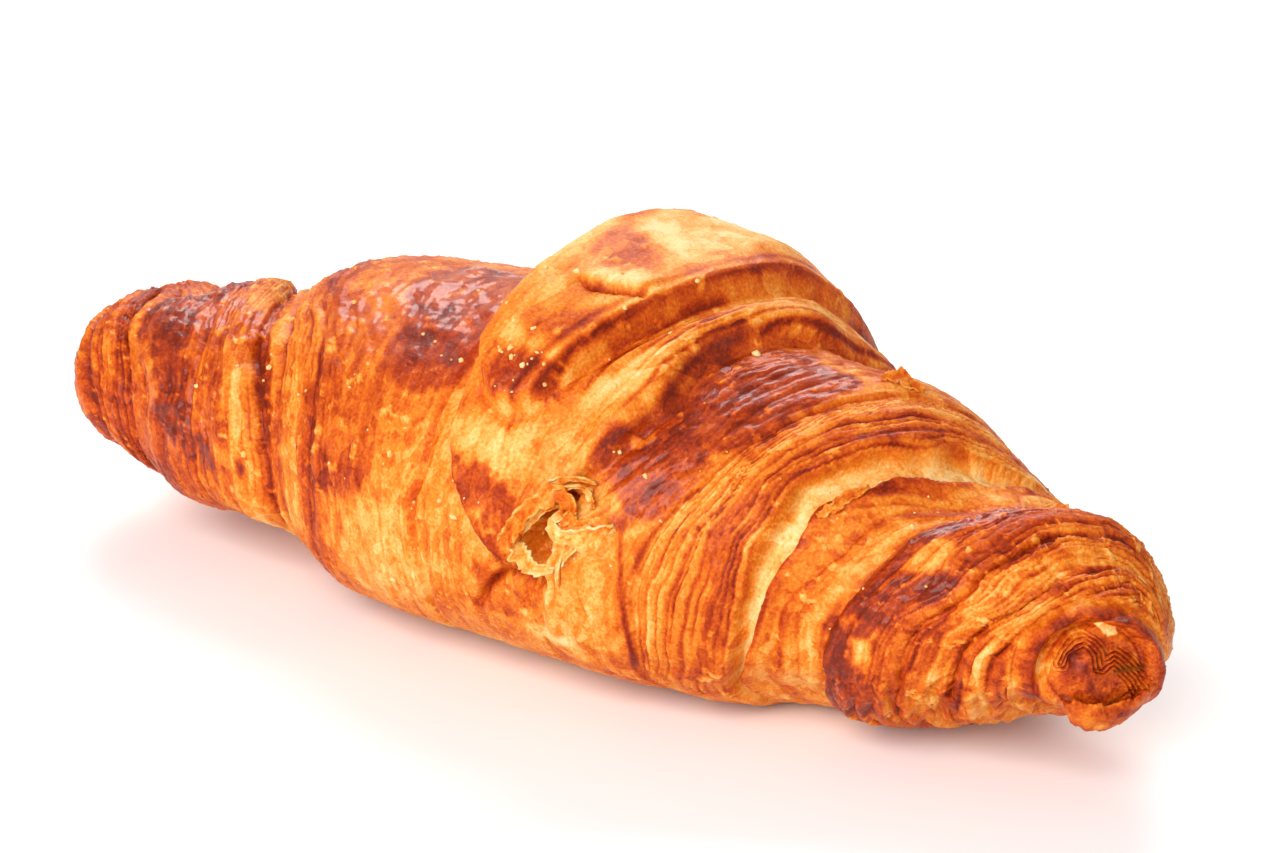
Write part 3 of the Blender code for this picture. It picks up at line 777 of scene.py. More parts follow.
def flatten_tip(points, half_length):
    """Presses the right end's front corner flat, and returns where its face is."""
    centre, facing, (right, up, out) = tip_frame(half_length)
    beyond = (points - centre) @ facing
    at_tip = points[..., 0] > TIP_FROM
    pressed = np.where(beyond > 0.0, TIP_FLATNESS * beyond, 0.0) * at_tip
    points = points - pressed[..., None] * facing
    on_face = smooth_step(beyond, -11.0, -8.5) * at_tip
    return points, (points - centre) @ right, (points - centre) @ up, on_face


def line_distance(u, v, points):
    """The distance to a line of points, and 1 or -1 for the side of it."""
    near = np.full(u.shape, 1e9)
    side = np.zeros(u.shape)
    for (u0, v0), (u1, v1) in zip(points[:-1], points[1:]):
        run_u, run_v = u1 - u0, v1 - v0
        part = ((u - u0) * run_u + (v - v0) * run_v) / (run_u * run_u + run_v * run_v)
        part = np.clip(part, 0.0, 1.0)
        away = np.hypot(u - u0 - part * run_u, v - v0 - part * run_v)
        cross = np.sign(run_u * (v - v0) - run_v * (u - u0))
        side = np.where(away < near, cross, side)
        near = np.minimum(near, away)
    return near, side


def tip_layers(u, v):
    """The end of the roll seen end on: its relief, its browning and how far it reaches."""
    share = np.hypot(u / TIP_FACE_RADII[0], v / TIP_FACE_RADII[1])
    turn = np.arctan2(v, u) / (2.0 * math.pi)
    wave = noise(u / 2.2 + 40.0, v / 60.0 + 0.5, 24, 91)
    blotch = noise(u / 1.1 + 10.0, v / 30.0 + 0.5, 24, 92) + 0.6 * noise(
        u / 0.45 + 10.0, v / 30.0 + 0.5, 60, 93)
    near, side = line_distance(u, v, TIP_PLEATS)
    width = 1.0 + 0.5 * smooth_step(u, 2.0, 5.0)
    pleated = (1.0 - smooth_step(near, width, width + 0.5)) * (1.0 - smooth_step(share, 0.78, 0.9))
    shifted = side * near + 0.16 * wave + 0.05 * blotch
    pleats = 0.5 + 0.5 * np.cos(2.0 * math.pi * shifted / TIP_PLEAT_SPACING)
    rim = groove(share - 0.93 + 0.03 * wave, 0.085) * smooth_step(v, -6.5, -3.0)
    beside = smooth_step(share, 0.99, 1.05) * smooth_step(v, -7.0, -3.0)
    well = (1.0 - smooth_step(share, 0.72, 0.84)) * smooth_step(v, -6.0, -4.0)
    curls = groove(share - 0.66 - 0.05 * np.sin(2.0 * math.pi * turn + 1.0), 0.03)
    curls = curls + groove(share - 0.76, 0.025) * smooth_step(u, 1.0, 4.0)
    dimple = groove(np.hypot(u - TIP_DIMPLE[0], v - TIP_DIMPLE[1]), 1.1)
    relief = 1.3 * rim - 0.8 * well + 0.12 * blotch - 0.7 * groove(share - 1.07, 0.05)
    relief += pleated * 0.62 * (pleats - 0.3) - 1.2 * dimple - 0.3 * curls
    golden = smooth_step(-u, 3.6, 5.4) * (1.0 - smooth_step(share, 0.74, 0.84))
    level = 0.64 + 0.24 * rim + 0.26 * dimple + pleated * 0.16 * (0.7 - pleats) - 0.2 * beside
    level += 0.16 * curls + 0.08 * wave + 0.1 * blotch - 0.22 * golden
    level += 0.12 * (1.0 - smooth_step(share, 0.3, 0.7)) - 0.08 * smooth_step(v, 3.0, 5.0) * well
    chip = inside(u, v / DEGREE, [(across, up / DEGREE) for across, up in TIP_CHIP])
    level += (0.1 - level) * smooth_step(chip + 0.12 * blotch, -0.1, 0.25)
    reach = 1.0 - smooth_step(share, 1.12, 1.24)
    return relief, level, reach


def make_mesh_object(name, points, faces, uvs=None, fields=None, smooth=True):
    """A mesh object from points in millimetres."""
    mesh = bpy.data.meshes.new(name)
    mesh.from_pydata((points * MM).tolist(), [], faces)
    mesh.polygons.foreach_set("use_smooth", np.full(len(faces), smooth))
    mesh.validate()
    if uvs is not None:
        layer = mesh.uv_layers.new(name="OFBake")
        layer.data.foreach_set("uv", uvs.astype(np.float32).ravel())
    for key, values in (fields or {}).items():
        attribute = mesh.attributes.new(key, "FLOAT", "POINT")
        attribute.data.foreach_set("value", values.astype(np.float32).ravel())
    thing = bpy.data.objects.new(name, mesh)
    bpy.context.scene.collection.objects.link(thing)
    return thing


def skin_frame(along, around, half_length, lift):
    """Points this far above the roll's plain outline, and its outward normals there."""
    along, around = np.atleast_2d(along), np.atleast_2d(around)
    across = (outline_point(along + 0.5, around, half_length, lift)
              - outline_point(along - 0.5, around, half_length, lift))
    round_it = (outline_point(along, around + 1.5, half_length, lift)
                - outline_point(along, around - 1.5, half_length, lift))
    normals = unit(np.cross(round_it, across))
    return outline_point(along, around, half_length, lift)[0], normals[0]


def skin_relief(along, around, half_length):
    """The crust's relief at single places."""
    return crust_fields(np.atleast_2d(along), np.atleast_2d(around), half_length)[0][0]


def smooth_path(points, count):
    """A smooth curve through a few points, as count even steps."""
    points = np.array(points, float)
    padded = np.vstack([2.0 * points[0] - points[1], points, 2.0 * points[-1] - points[-2]])
    steps = np.linspace(0.0, len(points) - 1.0, count)
    start = np.minimum(steps.astype(int), len(points) - 2)
    t = (steps - start)[:, None]
    a, b, c, d = (padded[start + k] for k in range(4))
    return 0.5 * (2.0 * b + (c - a) * t + (2.0 * a - 5.0 * b + 4.0 * c - d) * t ** 2
                  + (3.0 * b - a - 3.0 * c + d) * t ** 3)


def sheet(grid, thickness):
    """A thin closed sheet from a grid of points: its points and its faces."""
    rows, columns = grid.shape[:2]
    normals = unit(np.cross(np.gradient(grid, axis=0), np.gradient(grid, axis=1)))
    both = np.concatenate([grid + 0.5 * thickness * normals, grid - 0.5 * thickness * normals])
    i, j = np.meshgrid(np.arange(rows - 1), np.arange(columns - 1), indexing="ij")
    corner = (i * columns + j).ravel()
    quads = np.stack([corner, corner + columns, corner + columns + 1, corner + 1], -1)
    rim = (list(range(columns)) + [i * columns + columns - 1 for i in range(1, rows)]
           + [(rows - 1) * columns + j for j in range(columns - 2, -1, -1)]
           + [i * columns for i in range(rows - 2, 0, -1)])
    below = rows * columns
    faces = [tuple(face) for face in quads.tolist()]
    faces += [tuple(k + below for k in reversed(face)) for face in quads.tolist()]
    faces += [(a, b, b + below, a + below) for a, b in zip(rim, rim[1:] + rim[:1])]
    return both.reshape(-1, 3), faces


def join_shapes(shapes):
    """Several (points, faces, browning) shapes as one."""
    points, faces, browning, start = [], [], [], 0
    for some_points, some_faces, level in shapes:
        points.append(some_points)
        faces += [tuple(k + start for k in face) for face in some_faces]
        browning.append(np.broadcast_to(level, len(some_points)))
        start += len(some_points)
    return np.concatenate(points), faces, np.concatenate(browning)


# How many points a torn strip has along and across, how thick it is, and how far apart the
# strips' random seeds are.
RIBBON_STEPS = (46, 9)
RIBBON_THICKNESS = 0.28
SEED_STEP = 20


def torn_ribbon(path, width, tilt, curl, level, seed, half_length,
                thickness=RIBBON_THICKNESS, on_skin=False):
    """A strip of torn dough along a path of (along, angle, lift), with ragged edges."""
    count, across = RIBBON_STEPS
    along, around, lift = smooth_path(path, count).T
    if on_skin:
        lift = lift + skin_relief(along, around, half_length)
    base, normal = skin_frame(along, around, half_length, lift)
    tangent = unit(np.gradient(base, axis=0))
    side = unit(np.cross(normal, tangent))
    lean = math.radians(tilt)
    out = math.cos(lean) * side + math.sin(lean) * normal
    back = -math.sin(lean) * side + math.cos(lean) * normal
    steps = np.linspace(0.0, 1.0, count)
    taper = np.sin(math.pi * np.clip(steps, 0.04, 0.96)) ** 0.4
    u = steps * count / 5.0
    still = 0.0 * steps
    inner, outer = (1.0 + 0.45 * noise(u, still, 4, edge) + 0.25 * noise(3.1 * u, still, 4, edge + 1)
                    for edge in (seed, seed + 7))
    share = np.linspace(-1.0, 1.0, across)
    reach = np.where(share < 0.0, share * inner[:, None], share * outer[:, None])
    reach = 0.5 * width * reach * taper[:, None]
    bend = curl * (1.0 - share ** 2) * taper[:, None]
    bend = bend + 0.18 * noise(u[:, None] + 3.0 * share, 0.0 * share + 0.1, 4, seed + 3)
    grid = base[:, None] + reach[..., None] * out[:, None] + bend[..., None] * back[:, None]
    points, faces = sheet(grid, thickness)
    shade = level + 0.2 * noise(points[:, 0] / 0.9, points[:, 2] / 50.0, 30, seed + 5)
    tips = np.tile(np.abs(share) ** 3, 2 * count)
    return points, faces, np.clip(shade - 0.1 * tips, 0.0, 1.0)


def crust_colours(colours):
    """The baking colours, from hardly baked to thick glaze, and the browning each stands for."""
    return ((0.0, colours.cream), (0.2, colours.pale_gold), (0.4, colours.gold),
            (0.6, colours.orange), (0.8, colours.red_brown), (1.0, colours.dark_brown))


def finish_piece(name, shapes, context, glaze=0.15):
    """Makes one object of the shapes, with the crust's material, riding on the body."""
    points, faces, browning = join_shapes(shapes)
    points[:, 2] = np.maximum(points[:, 2], 0.05)
    fields = {"browning": browning, "glaze": np.full(len(points), glaze)}
    piece = make_mesh_object(name, points, faces, None, fields)
    piece.data.materials.append(crust_material(
        "torn_baked_dough_" + name, crust_colours(context.scene.croissant_colours)))
    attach(piece, BODY)
    return piece


# Torn strips: path of (along, angle, height above the roll's outline), width, tilt from the
# skin, curl, browning.
STRIP_SEED = 200
TORN_STRIPS = (
    (((8.2, 2.0, 2.0), (9.0, 6.5, 2.9), (10.2, 11.0, 3.5), (12.0, 16.5, 3.6), (13.6, 21.0, 3.4),
     (15.4, 23.0, 3.0), (16.9, 20.5, 2.2), (16.7, 17.5, 0.8)), 2.8, 12, 0.9, 0.5),
    (((10.2, 6.0, 1.0), (11.2, 10.0, 1.9), (12.8, 14.5, 2.3), (14.4, 18.5, 2.2), (15.6, 19.5, 1.2)),
     1.1, 60, 0.3, 0.4),
    (((9.8, 6.5, 1.4), (10.6, 4.5, 2.2), (11.8, 2.6, 2.4), (13.6, 1.0, 2.2), (15.6, 0.2, 1.2)), 2.4,
     -30, 0.5, 0.24),
    (((15.9, 19.0, 0.8), (15.3, 15.5, 1.9), (15.9, 12.6, 2.3), (18.2, 12.6, 2.2), (21.0, 14.4, 1.9),
     (23.0, 17.0, 1.1)), 2.2, 20, 0.6, 0.27),
    (((16.4, 19.5, 0.8), (17.2, 16.4, 2.0), (19.6, 15.8, 2.1), (22.0, 18.0, 1.1)), 2.6, 8, 0.5, 0.5),
    (((13.0, 22.6, 1.6), (14.0, 25.2, 2.5), (16.2, 27.8, 2.5), (18.9, 28.4, 1.0)), 1.0, 40, 0.3, 0.3),
    (((14.2, 21.5, 1.6), (15.0, 23.8, 2.6), (17.0, 26.0, 2.5), (18.8, 26.0, 1.0)), 0.8, 56, 0.3, 0.42),
    (((17.4, 26.0, 1.0), (18.8, 24.8, 1.8), (19.6, 22.6, 1.6), (19.2, 20.6, 0.8)), 1.0, 34, 0.4, 0.34),
    (((16.6, 8.0, 0.6), (16.2, 3.0, 1.3), (16.1, -3.0, 1.3), (16.6, -8.0, 0.7)), 1.1, 58, 0.3, 0.2),
    (((19.6, 12.6, 0.8), (18.4, 9.0, 1.5), (17.2, 5.0, 1.6), (16.4, 1.0, 0.9)), 1.0, 44, 0.3, 0.24),
)
# Loose flakes that stand up from the ridges.
FLAKE_SEED = 600
FLAKE_THICKNESS = 0.25
LOOSE_FLAKES = (
    (((67.0, 104, 0.3), (69.0, 108, 0.9), (71.5, 112, 0.2)), 2.2, 25, 0.3, 0.5),
    (((39.0, 101, 0.3), (41.0, 105, 0.9), (43.5, 109, 0.2)), 2.4, 25, 0.3, 0.5),
    (((45.6, 40, 0.2), (47.6, 48, 0.6), (49.2, 58, 0.2)), 1.4, 20, 0.2, 0.56),
)
# The loose end of the outermost layer at the right end: an inner and an outer edge as places
# on the end's face, and how far each stands out from it.
FLAP_INNER = ((-4.0, -3.9, -1.5), (-1.7, -4.3, -0.3), (0.9, -4.5, 0.3), (4.1, -4.1, 0.35),
              (6.6, -3.1, 0.0), (8.4, -1.6, -0.7))
FLAP_OUTER = ((-2.6, -6.7, -2.4), (-0.8, -7.5, -1.0), (1.3, -7.6, -0.6), (3.4, -6.9, -0.6),
              (5.3, -5.6, -1.0), (7.4, -3.8, -1.6))
FLAP_STEPS = (60, 11)
FLAP_THICKNESS = 0.7
FLAP_BULGE = 0.7
# The crumbs: how many, and the share of them that lie near the last wrap.
CRUMBS = 160
CRUMBS_NEAR_WRAP = 0.62
CRUMB_SEED = 77
# The crumbs caught on the last wrap's upper fold: how many, and their middle and spread as
# (along, angle).
CAUGHT_CRUMBS = 18
CAUGHT_PLACE = (5.0, 50.0)
CAUGHT_SPREAD = (2.4, 5.0)
SMALLEST_CRUMB = 0.2
LARGEST_CRUMB = 0.65


class CROISSANT_OT_torn_layers(bpy.types.Operator):
    """Builds the curled strips of dough where the last wrap's tip tore away"""
    bl_idname = "croissant.torn_layers"
    bl_label = "Make torn layers"

    def execute(self, context):
        half_length = context.scene.croissant_shape.half_length / MM
        shapes = [torn_ribbon(*strip, STRIP_SEED + SEED_STEP * number, half_length)
                  for number, strip in enumerate(TORN_STRIPS)]
        finish_piece("torn_layers", shapes, context)
        return {"FINISHED"}


class CROISSANT_OT_loose_flakes(bpy.types.Operator):
    """Builds the thin flakes that lift off the ridges"""
    bl_idname = "croissant.loose_flakes"
    bl_label = "Make loose flakes"

    def execute(self, context):
        half_length = context.scene.croissant_shape.half_length / MM
        shapes = [torn_ribbon(*flake, FLAKE_SEED + SEED_STEP * number, half_length,
                              FLAKE_THICKNESS, True)
                  for number, flake in enumerate(LOOSE_FLAKES)]
        finish_piece("loose_flakes", shapes, context)
        return {"FINISHED"}


class CROISSANT_OT_tip_flap(bpy.types.Operator):
    """Builds the loose end of the outermost layer at the right end"""
    bl_idname = "croissant.tip_flap"
    bl_label = "Make tip flap"

    def execute(self, context):
        half_length = context.scene.croissant_shape.half_length / MM
        count, across = FLAP_STEPS
        inner, outer = smooth_path(FLAP_INNER, count), smooth_path(FLAP_OUTER, count)
        steps = np.linspace(0.0, 1.0, count)
        still = 0.0 * steps
        ragged = noise(steps * 16.0, still, 4, 301) + 0.5 * noise(steps * 41.0, still, 4, 302)
        share = np.linspace(0.0, 1.0, across)[None, :, None]
        outer = outer + (outer - inner) * 0.05 * ragged[:, None]
        inner = inner - (outer - inner) * 0.1 * ragged[::-1, None]
        places = inner[:, None] * (1.0 - share) + outer[:, None] * share
        bulge = np.sin(math.pi * share[..., 0]) * np.sin(math.pi * steps)[:, None]
        places[..., 2] += FLAP_BULGE * bulge
        grid = tip_point(places[..., 0], places[..., 1], places[..., 2], half_length)
        points, faces = sheet(grid, FLAP_THICKNESS)
        shade = 0.6 + 0.2 * noise(points[:, 0] / 1.2, points[:, 2] / 30.0, 24, 303)
        torn = groove(steps[:, None] - 0.56, 0.12) * groove(share[..., 0] - 0.45, 0.3)
        shade = shade + 0.3 * np.tile(torn.ravel(), 2)
        finish_piece("tip_flap", [(points, faces, np.clip(shade, 0.0, 1.0))], context)
        return {"FINISHED"}


class CROISSANT_OT_crumbs(bpy.types.Operator):
    """Scatters small crumbs over the crust"""
    bl_idname = "croissant.crumbs"
    bl_label = "Make crumbs"

    def execute(self, context):
        half_length = context.scene.croissant_shape.half_length / MM
        generator = np.random.default_rng(CRUMB_SEED)
        near_wrap = generator.random(CRUMBS) < CRUMBS_NEAR_WRAP
        along = np.where(near_wrap, generator.normal(-2.0, 15.0, CRUMBS),
                         generator.uniform(-60.0, 70.0, CRUMBS))
        around = generator.uniform(-25.0, 88.0, CRUMBS)
        for places, middle, spread in zip((along, around), CAUGHT_PLACE, CAUGHT_SPREAD):
            places[:CAUGHT_CRUMBS] = generator.normal(middle, spread, CAUGHT_CRUMBS)
        lift = skin_relief(along, around, half_length)
        base, normal = skin_frame(along, around, half_length, lift)
        ball = bmesh.new()
        bmesh.ops.create_icosphere(ball, subdivisions=1, radius=1.0)
        corners = np.array([vert.co for vert in ball.verts])
        faces = [tuple(vert.index for vert in face.verts) for face in ball.faces]
        ball.free()
        shapes = []
        for point, out in zip(base, normal):
            size = SMALLEST_CRUMB + (LARGEST_CRUMB - SMALLEST_CRUMB) * generator.random() ** 3
            stretch = generator.uniform(0.55, 1.3, 3) * size
            lumps = corners * stretch * generator.uniform(0.75, 1.2, (len(corners), 1))
            shapes.append((point + out * 0.35 * size + lumps, faces,
                           generator.uniform(0.0, 0.25)))
        finish_piece("crumbs", shapes, context)
        return {"FINISHED"}


# The unrolled crust in millimetres: along the roll, and half of the way round it, so that the
# pattern is twice as long along the layers, which run round the roll, as across them.
UNROLLED_SIZE = (210.0, 85.0, 1.0)
# Cells to the millimetre. Mottling is about 2.5 mm across, flecks 0.5 mm, flakes 1 mm and
# grain 0.4 mm, which is coarser than the real grain, so that it shows.
MOTTLE_SCALE = 0.4
FLECK_SCALE = 2.1
FLAKE_SCALE = 0.9
GRAIN_SCALE = 2.6
# How much each of them changes the browning.
MOTTLE_STRENGTH = 0.36
FLECK_STRENGTH = 0.58
FLAKE_STRENGTH = 0.19


def add_node(tree, kind, inputs=None, links=None, **settings):
    """Adds a node to a material with its settings, set inputs and links from other sockets."""
    node = tree.nodes.new(kind)
    for key, value in settings.items():
        setattr(node, key, value)
    for key, value in (inputs or {}).items():
        node.inputs[key].default_value = value
    for key, socket in (links or {}).items():
        tree.links.new(socket, node.inputs[key])
    return node


def set_ramp(node, stops):
    """Sets a colour ramp's stops from (position, colour)."""
    ramp = node.color_ramp
    while len(ramp.elements) > 1:
        ramp.elements.remove(ramp.elements[-1])
    for number, (position, colour) in enumerate(stops):
        stop = ramp.elements[0] if number == 0 else ramp.elements.new(position)
        stop.position = position
        stop.color = (*colour, 1.0)


def crust_material(name, colours, unrolled=False):
    """Egg-washed baked dough: pale and matt where a layer was covered, brown and glossy where
    the wash lay and the oven's heat reached it. Fine pits and specks keep it from looking
    moulded."""
    material = bpy.data.materials.new(name)
    material.use_nodes = True
    tree = material.node_tree
    shader = tree.nodes["Principled BSDF"]
    place = add_node(tree, "ShaderNodeTexCoord")
    in_millimetres = (1.0 / MM, 1.0 / MM, 1.0 / MM)
    # The crust's mottling and flakes are laid out on it unrolled. A loose piece's are even.
    stretched = add_node(tree, "ShaderNodeMapping",
                         {"Scale": UNROLLED_SIZE if unrolled else in_millimetres},
                         {"Vector": place.outputs["UV" if unrolled else "Object"]})
    even = add_node(tree, "ShaderNodeMapping", {"Scale": in_millimetres},
                    {"Vector": place.outputs["Object"]})
    where = {"Vector": stretched.outputs["Vector"]}
    where_even = {"Vector": even.outputs["Vector"]}
    brown = add_node(tree, "ShaderNodeAttribute", attribute_name="browning")
    glaze = add_node(tree, "ShaderNodeAttribute", attribute_name="glaze")
    mottle = add_node(tree, "ShaderNodeTexNoise",
                      {"Scale": MOTTLE_SCALE, "Detail": 5.0, "Roughness": 0.62}, where)
    fleck = add_node(tree, "ShaderNodeTexNoise",
                     {"Scale": FLECK_SCALE, "Detail": 4.0, "Roughness": 0.6}, where_even)
    mottle_shift = add_node(tree, "ShaderNodeMath", {1: -0.5}, {0: mottle.outputs["Fac"]},
                            operation="ADD")
    fleck_shift = add_node(tree, "ShaderNodeMath", {1: -0.5}, {0: fleck.outputs["Fac"]},
                           operation="ADD")
    level = add_node(tree, "ShaderNodeMath", {1: MOTTLE_STRENGTH},
                     {0: mottle_shift.outputs[0], 2: brown.outputs["Fac"]},
                     operation="MULTIPLY_ADD")
    level = add_node(tree, "ShaderNodeMath", {1: FLECK_STRENGTH},
                     {0: fleck_shift.outputs[0], 2: level.outputs[0]},
                     operation="MULTIPLY_ADD")
    # Thin flakes, each a little paler or browner than the next.
    bent = add_node(tree, "ShaderNodeVectorMath", None,
                    {0: stretched.outputs["Vector"], 1: mottle.outputs["Color"]},
                    operation="ADD")
    flake = add_node(tree, "ShaderNodeTexVoronoi", {"Scale": FLAKE_SCALE, "Randomness": 1.0},
                     {"Vector": bent.outputs[0]})
    tone = add_node(tree, "ShaderNodeSeparateColor", None, {"Color": flake.outputs["Color"]})
    tone = add_node(tree, "ShaderNodeMath", {1: -0.5}, {0: tone.outputs["Red"]}, operation="ADD")
    level = add_node(tree, "ShaderNodeMath", {1: FLAKE_STRENGTH},
                     {0: tone.outputs[0], 2: level.outputs[0]}, operation="MULTIPLY_ADD")
    ramp = add_node(tree, "ShaderNodeValToRGB", None, {"Fac": level.outputs[0]})
    set_ramp(ramp, colours)
    rough_level = add_node(tree, "ShaderNodeMapRange", {"To Min": 0.52, "To Max": 0.26},
                           {"Value": glaze.outputs["Fac"]})
    rough_mix = add_node(tree, "ShaderNodeMath", {1: 0.2},
                         {0: fleck_shift.outputs[0], 2: rough_level.outputs["Result"]},
                         operation="MULTIPLY_ADD")
    grain = add_node(tree, "ShaderNodeTexNoise",
                     {"Scale": GRAIN_SCALE, "Detail": 4.0, "Roughness": 0.65}, where_even)
    # The grain stands 0.26 mm high and a flake's edge 0.1 mm, at most.
    bump = add_node(tree, "ShaderNodeBump", {"Strength": 0.6, "Distance": 0.26 * MM},
                    {"Height": grain.outputs["Fac"]})
    bump = add_node(tree, "ShaderNodeBump", {"Strength": 0.3, "Distance": 0.1 * MM},
                    {"Height": tone.outputs[0], "Normal": bump.outputs["Normal"]})
    coat = add_node(tree, "ShaderNodeMath", {1: 0.3}, {0: glaze.outputs["Fac"]},
                    operation="MULTIPLY")
    # Starch and fat have an IOR near 1.45, but the dough under the wash is full of pores, so it
    # reflects less. The wash itself dries to a clear, smooth coat of egg.
    shader.inputs["IOR"].default_value = 1.45
    shader.inputs["Specular IOR Level"].default_value = 0.14
    shader.inputs["Coat Roughness"].default_value = 0.1
    shader.inputs["Coat IOR"].default_value = 1.5
    shader.inputs["Subsurface Weight"].default_value = 0.18
    shader.inputs["Subsurface Radius"].default_value = (1.0, 0.42, 0.16)
    shader.inputs["Subsurface Scale"].default_value = 0.0016
    tree.links.new(ramp.outputs["Color"], shader.inputs["Base Color"])
    tree.links.new(rough_mix.outputs[0], shader.inputs["Roughness"])
    tree.links.new(coat.outputs[0], shader.inputs["Coat Weight"])
    tree.links.new(bump.outputs["Normal"], shader.inputs["Normal"])
    return material


class CroissantShape(bpy.types.PropertyGroup):
    """The croissant's length and how finely its crust is divided"""
    half_length: bpy.props.FloatProperty(
        name="Half length", description="Half the croissant's length",
        default=(CAD_BOX[1][0] - CAD_BOX[0][0]) / 2.0, unit="LENGTH")
    rings: bpy.props.IntProperty(
        name="Rings", description="Rings of points from end to end", default=900)
    segments: bpy.props.IntProperty(
        name="Segments", description="Points round each ring", default=460)


class CroissantColours(bpy.types.PropertyGroup):
    """The crust's colours, from hardly baked to darkest"""
    cream: bpy.props.FloatVectorProperty(
        name="Cream", description="Dough that the heat hardly reached", subtype="COLOR",
        default=linear("F0CE8F"))
    pale_gold: bpy.props.FloatVectorProperty(
        name="Pale gold", description="Lightly baked dough", subtype="COLOR",
        default=linear("EEAE5A"))
    gold: bpy.props.FloatVectorProperty(
        name="Gold", description="Baked dough", subtype="COLOR", default=linear("E28222"))
    orange: bpy.props.FloatVectorProperty(
        name="Orange", description="Well baked dough", subtype="COLOR",
        default=linear("CB570C"))
    red_brown: bpy.props.FloatVectorProperty(
        name="Red brown", description="Thin glaze", subtype="COLOR", default=linear("A43304"))
    dark_brown: bpy.props.FloatVectorProperty(
        name="Dark brown", description="Thick glaze", subtype="COLOR",
        default=linear("701B02"))


class CroissantStage(bpy.types.PropertyGroup):
    """The floor's colour and the lights' strengths"""
    floor: bpy.props.FloatVectorProperty(
        name="Floor", description="White paper under the croissant", subtype="COLOR",
        default=linear("FBFAF9"))
    key_power: bpy.props.FloatProperty(
        name="Key light", description="Power of the soft box behind on the left",
        default=7.5, unit="POWER")
    fill_power: bpy.props.FloatProperty(
        name="Fill light", description="Power of the soft box over the front",
        default=12.0, unit="POWER")
    sky: bpy.props.FloatProperty(
        name="Room light", description="Brightness of the white room", default=0.4)


def crust_grid(half_length, rings, segments):
    """The crust's points, as rings from end to end, and the browning and glaze at each."""
    places = ring_places(half_length, rings)
    turn = np.arange(segments) / segments
    around = np.repeat((turn * 360.0 - 90.0)[None, :], rings, 0)
    along = lean_rings(places[:, None], around, half_length)
    relief, fine, brown, glaze = crust_fields(along, around, half_length)
    points = outline_point(along, around, half_length, relief)
    points, u, v, on_tip = flatten_tip(points, half_length)
    wound, wound_brown, reach = tip_layers(u, v)
    on_tip = on_tip * reach
    fine = fine * smooth_step(closing_at(along, half_length), 0.15, 0.75)
    fine = fine + on_tip * (wound - fine)
    brown = brown + on_tip * (wound_brown - brown)
    normals = grid_normals(points)
    facing = compass(TIP_FACE_AZIMUTH)
    normals = unit(normals + on_tip[..., None] * (facing - normals))
    points = points + fine[..., None] * normals
    # The roll rests on a flat patch with a soft edge.
    points[..., 2] = 0.5 * (points[..., 2] + np.hypot(points[..., 2], PATCH_EDGE))
    points[..., 2] -= points[..., 2].min()
    return points, brown, glaze


def ring_faces(rings, segments):
    """Quads between the rings, and triangles that close both ends on two more points."""
    i, j = np.meshgrid(np.arange(rings - 1), np.arange(segments), indexing="ij")
    k = (j + 1) % segments
    quads = np.stack([(i + 1) * segments + j, (i + 1) * segments + k, i * segments + k,
                      i * segments + j], -1).reshape(-1, 4)
    j = np.arange(segments)
    k = (j + 1) % segments
    first_end, last_end = rings * segments, rings * segments + 1
    last_ring = (rings - 1) * segments
    triangles = [np.stack([np.full_like(j, first_end), j, k], -1),
                 np.stack([np.full_like(j, last_end), last_ring + k, last_ring + j], -1)]
    return quads, np.concatenate(triangles)


def unrolled_uvs(quads, triangles, rings, segments):
    """The crust's UVs: along the roll, and round it from the underside, where the seam is."""
    ends = rings * segments
    corner = np.concatenate([quads.ravel(), triangles.ravel()])
    face = np.concatenate([np.repeat(np.arange(len(quads)), 4),
                           len(quads) + np.repeat(np.arange(len(triangles)), 3)])
    on_ring = corner < ends
    across = np.repeat((np.arange(rings) + 1.0) / (rings + 1.0), segments)
    across = np.concatenate([across, [0.0, 1.0]])[corner]
    turn = np.where(on_ring, (corner % segments) / segments, 0.0)
    farthest = np.zeros(len(quads) + len(triangles))
    np.maximum.at(farthest, face, turn)
    past_seam = (farthest[face] > 0.9) & (turn < 0.1) & on_ring
    turn = np.where(past_seam, 1.0, turn)
    turn = np.where(on_ring, turn, farthest[face])
    return np.stack([across, turn], -1)


class CROISSANT_OT_crust(bpy.types.Operator):
    """Builds the baked crust with all its layers"""
    bl_idname = "croissant.crust"
    bl_label = "Make crust"

    def execute(self, context):
        shape = context.scene.croissant_shape
        half_length = shape.half_length / MM
        rings, segments = shape.rings, shape.segments
        points, brown, glaze = crust_grid(half_length, rings, segments)
        quads, triangles = ring_faces(rings, segments)
        ends = [points[0].mean(axis=0), points[-1].mean(axis=0)]
        fields = {"browning": np.append(brown.ravel(), [END_BROWNING, END_BROWNING]),
                  "glaze": np.append(glaze.ravel(), [END_GLAZE, END_GLAZE])}
        crust = make_mesh_object("crust", np.vstack([points.reshape(-1, 3), ends]),
                                 quads.tolist() + triangles.tolist(),
                                 unrolled_uvs(quads, triangles, rings, segments), fields)
        crust.data.materials.append(crust_material(
            "egg_washed_baked_dough", crust_colours(context.scene.croissant_colours), True))
        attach(crust, BODY)
        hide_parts(NODE)
        return {"FINISHED"}


FLOOR_REACH = 1500.0
# The soft boxes' places and sizes, and what they look at, in metres.
KEY_BOX = ((-0.45, 0.6, 0.65), (0.6, 0.5))
FILL_BOX = ((0.15, -0.8, 0.6), (0.9, 0.7))
SOFT_BOX_TARGET = (0.0, 0.0, 0.02)
CAMERA_AZIMUTH = 38.0
CAMERA_ELEVATION = 23.0
CAMERA_DISTANCE = 650.0
CAMERA_AIM = (0.0, 0.0, 22.0)
CAMERA_SLIDE = (3.77, 6.28)
CAMERA_LENS = 131.7


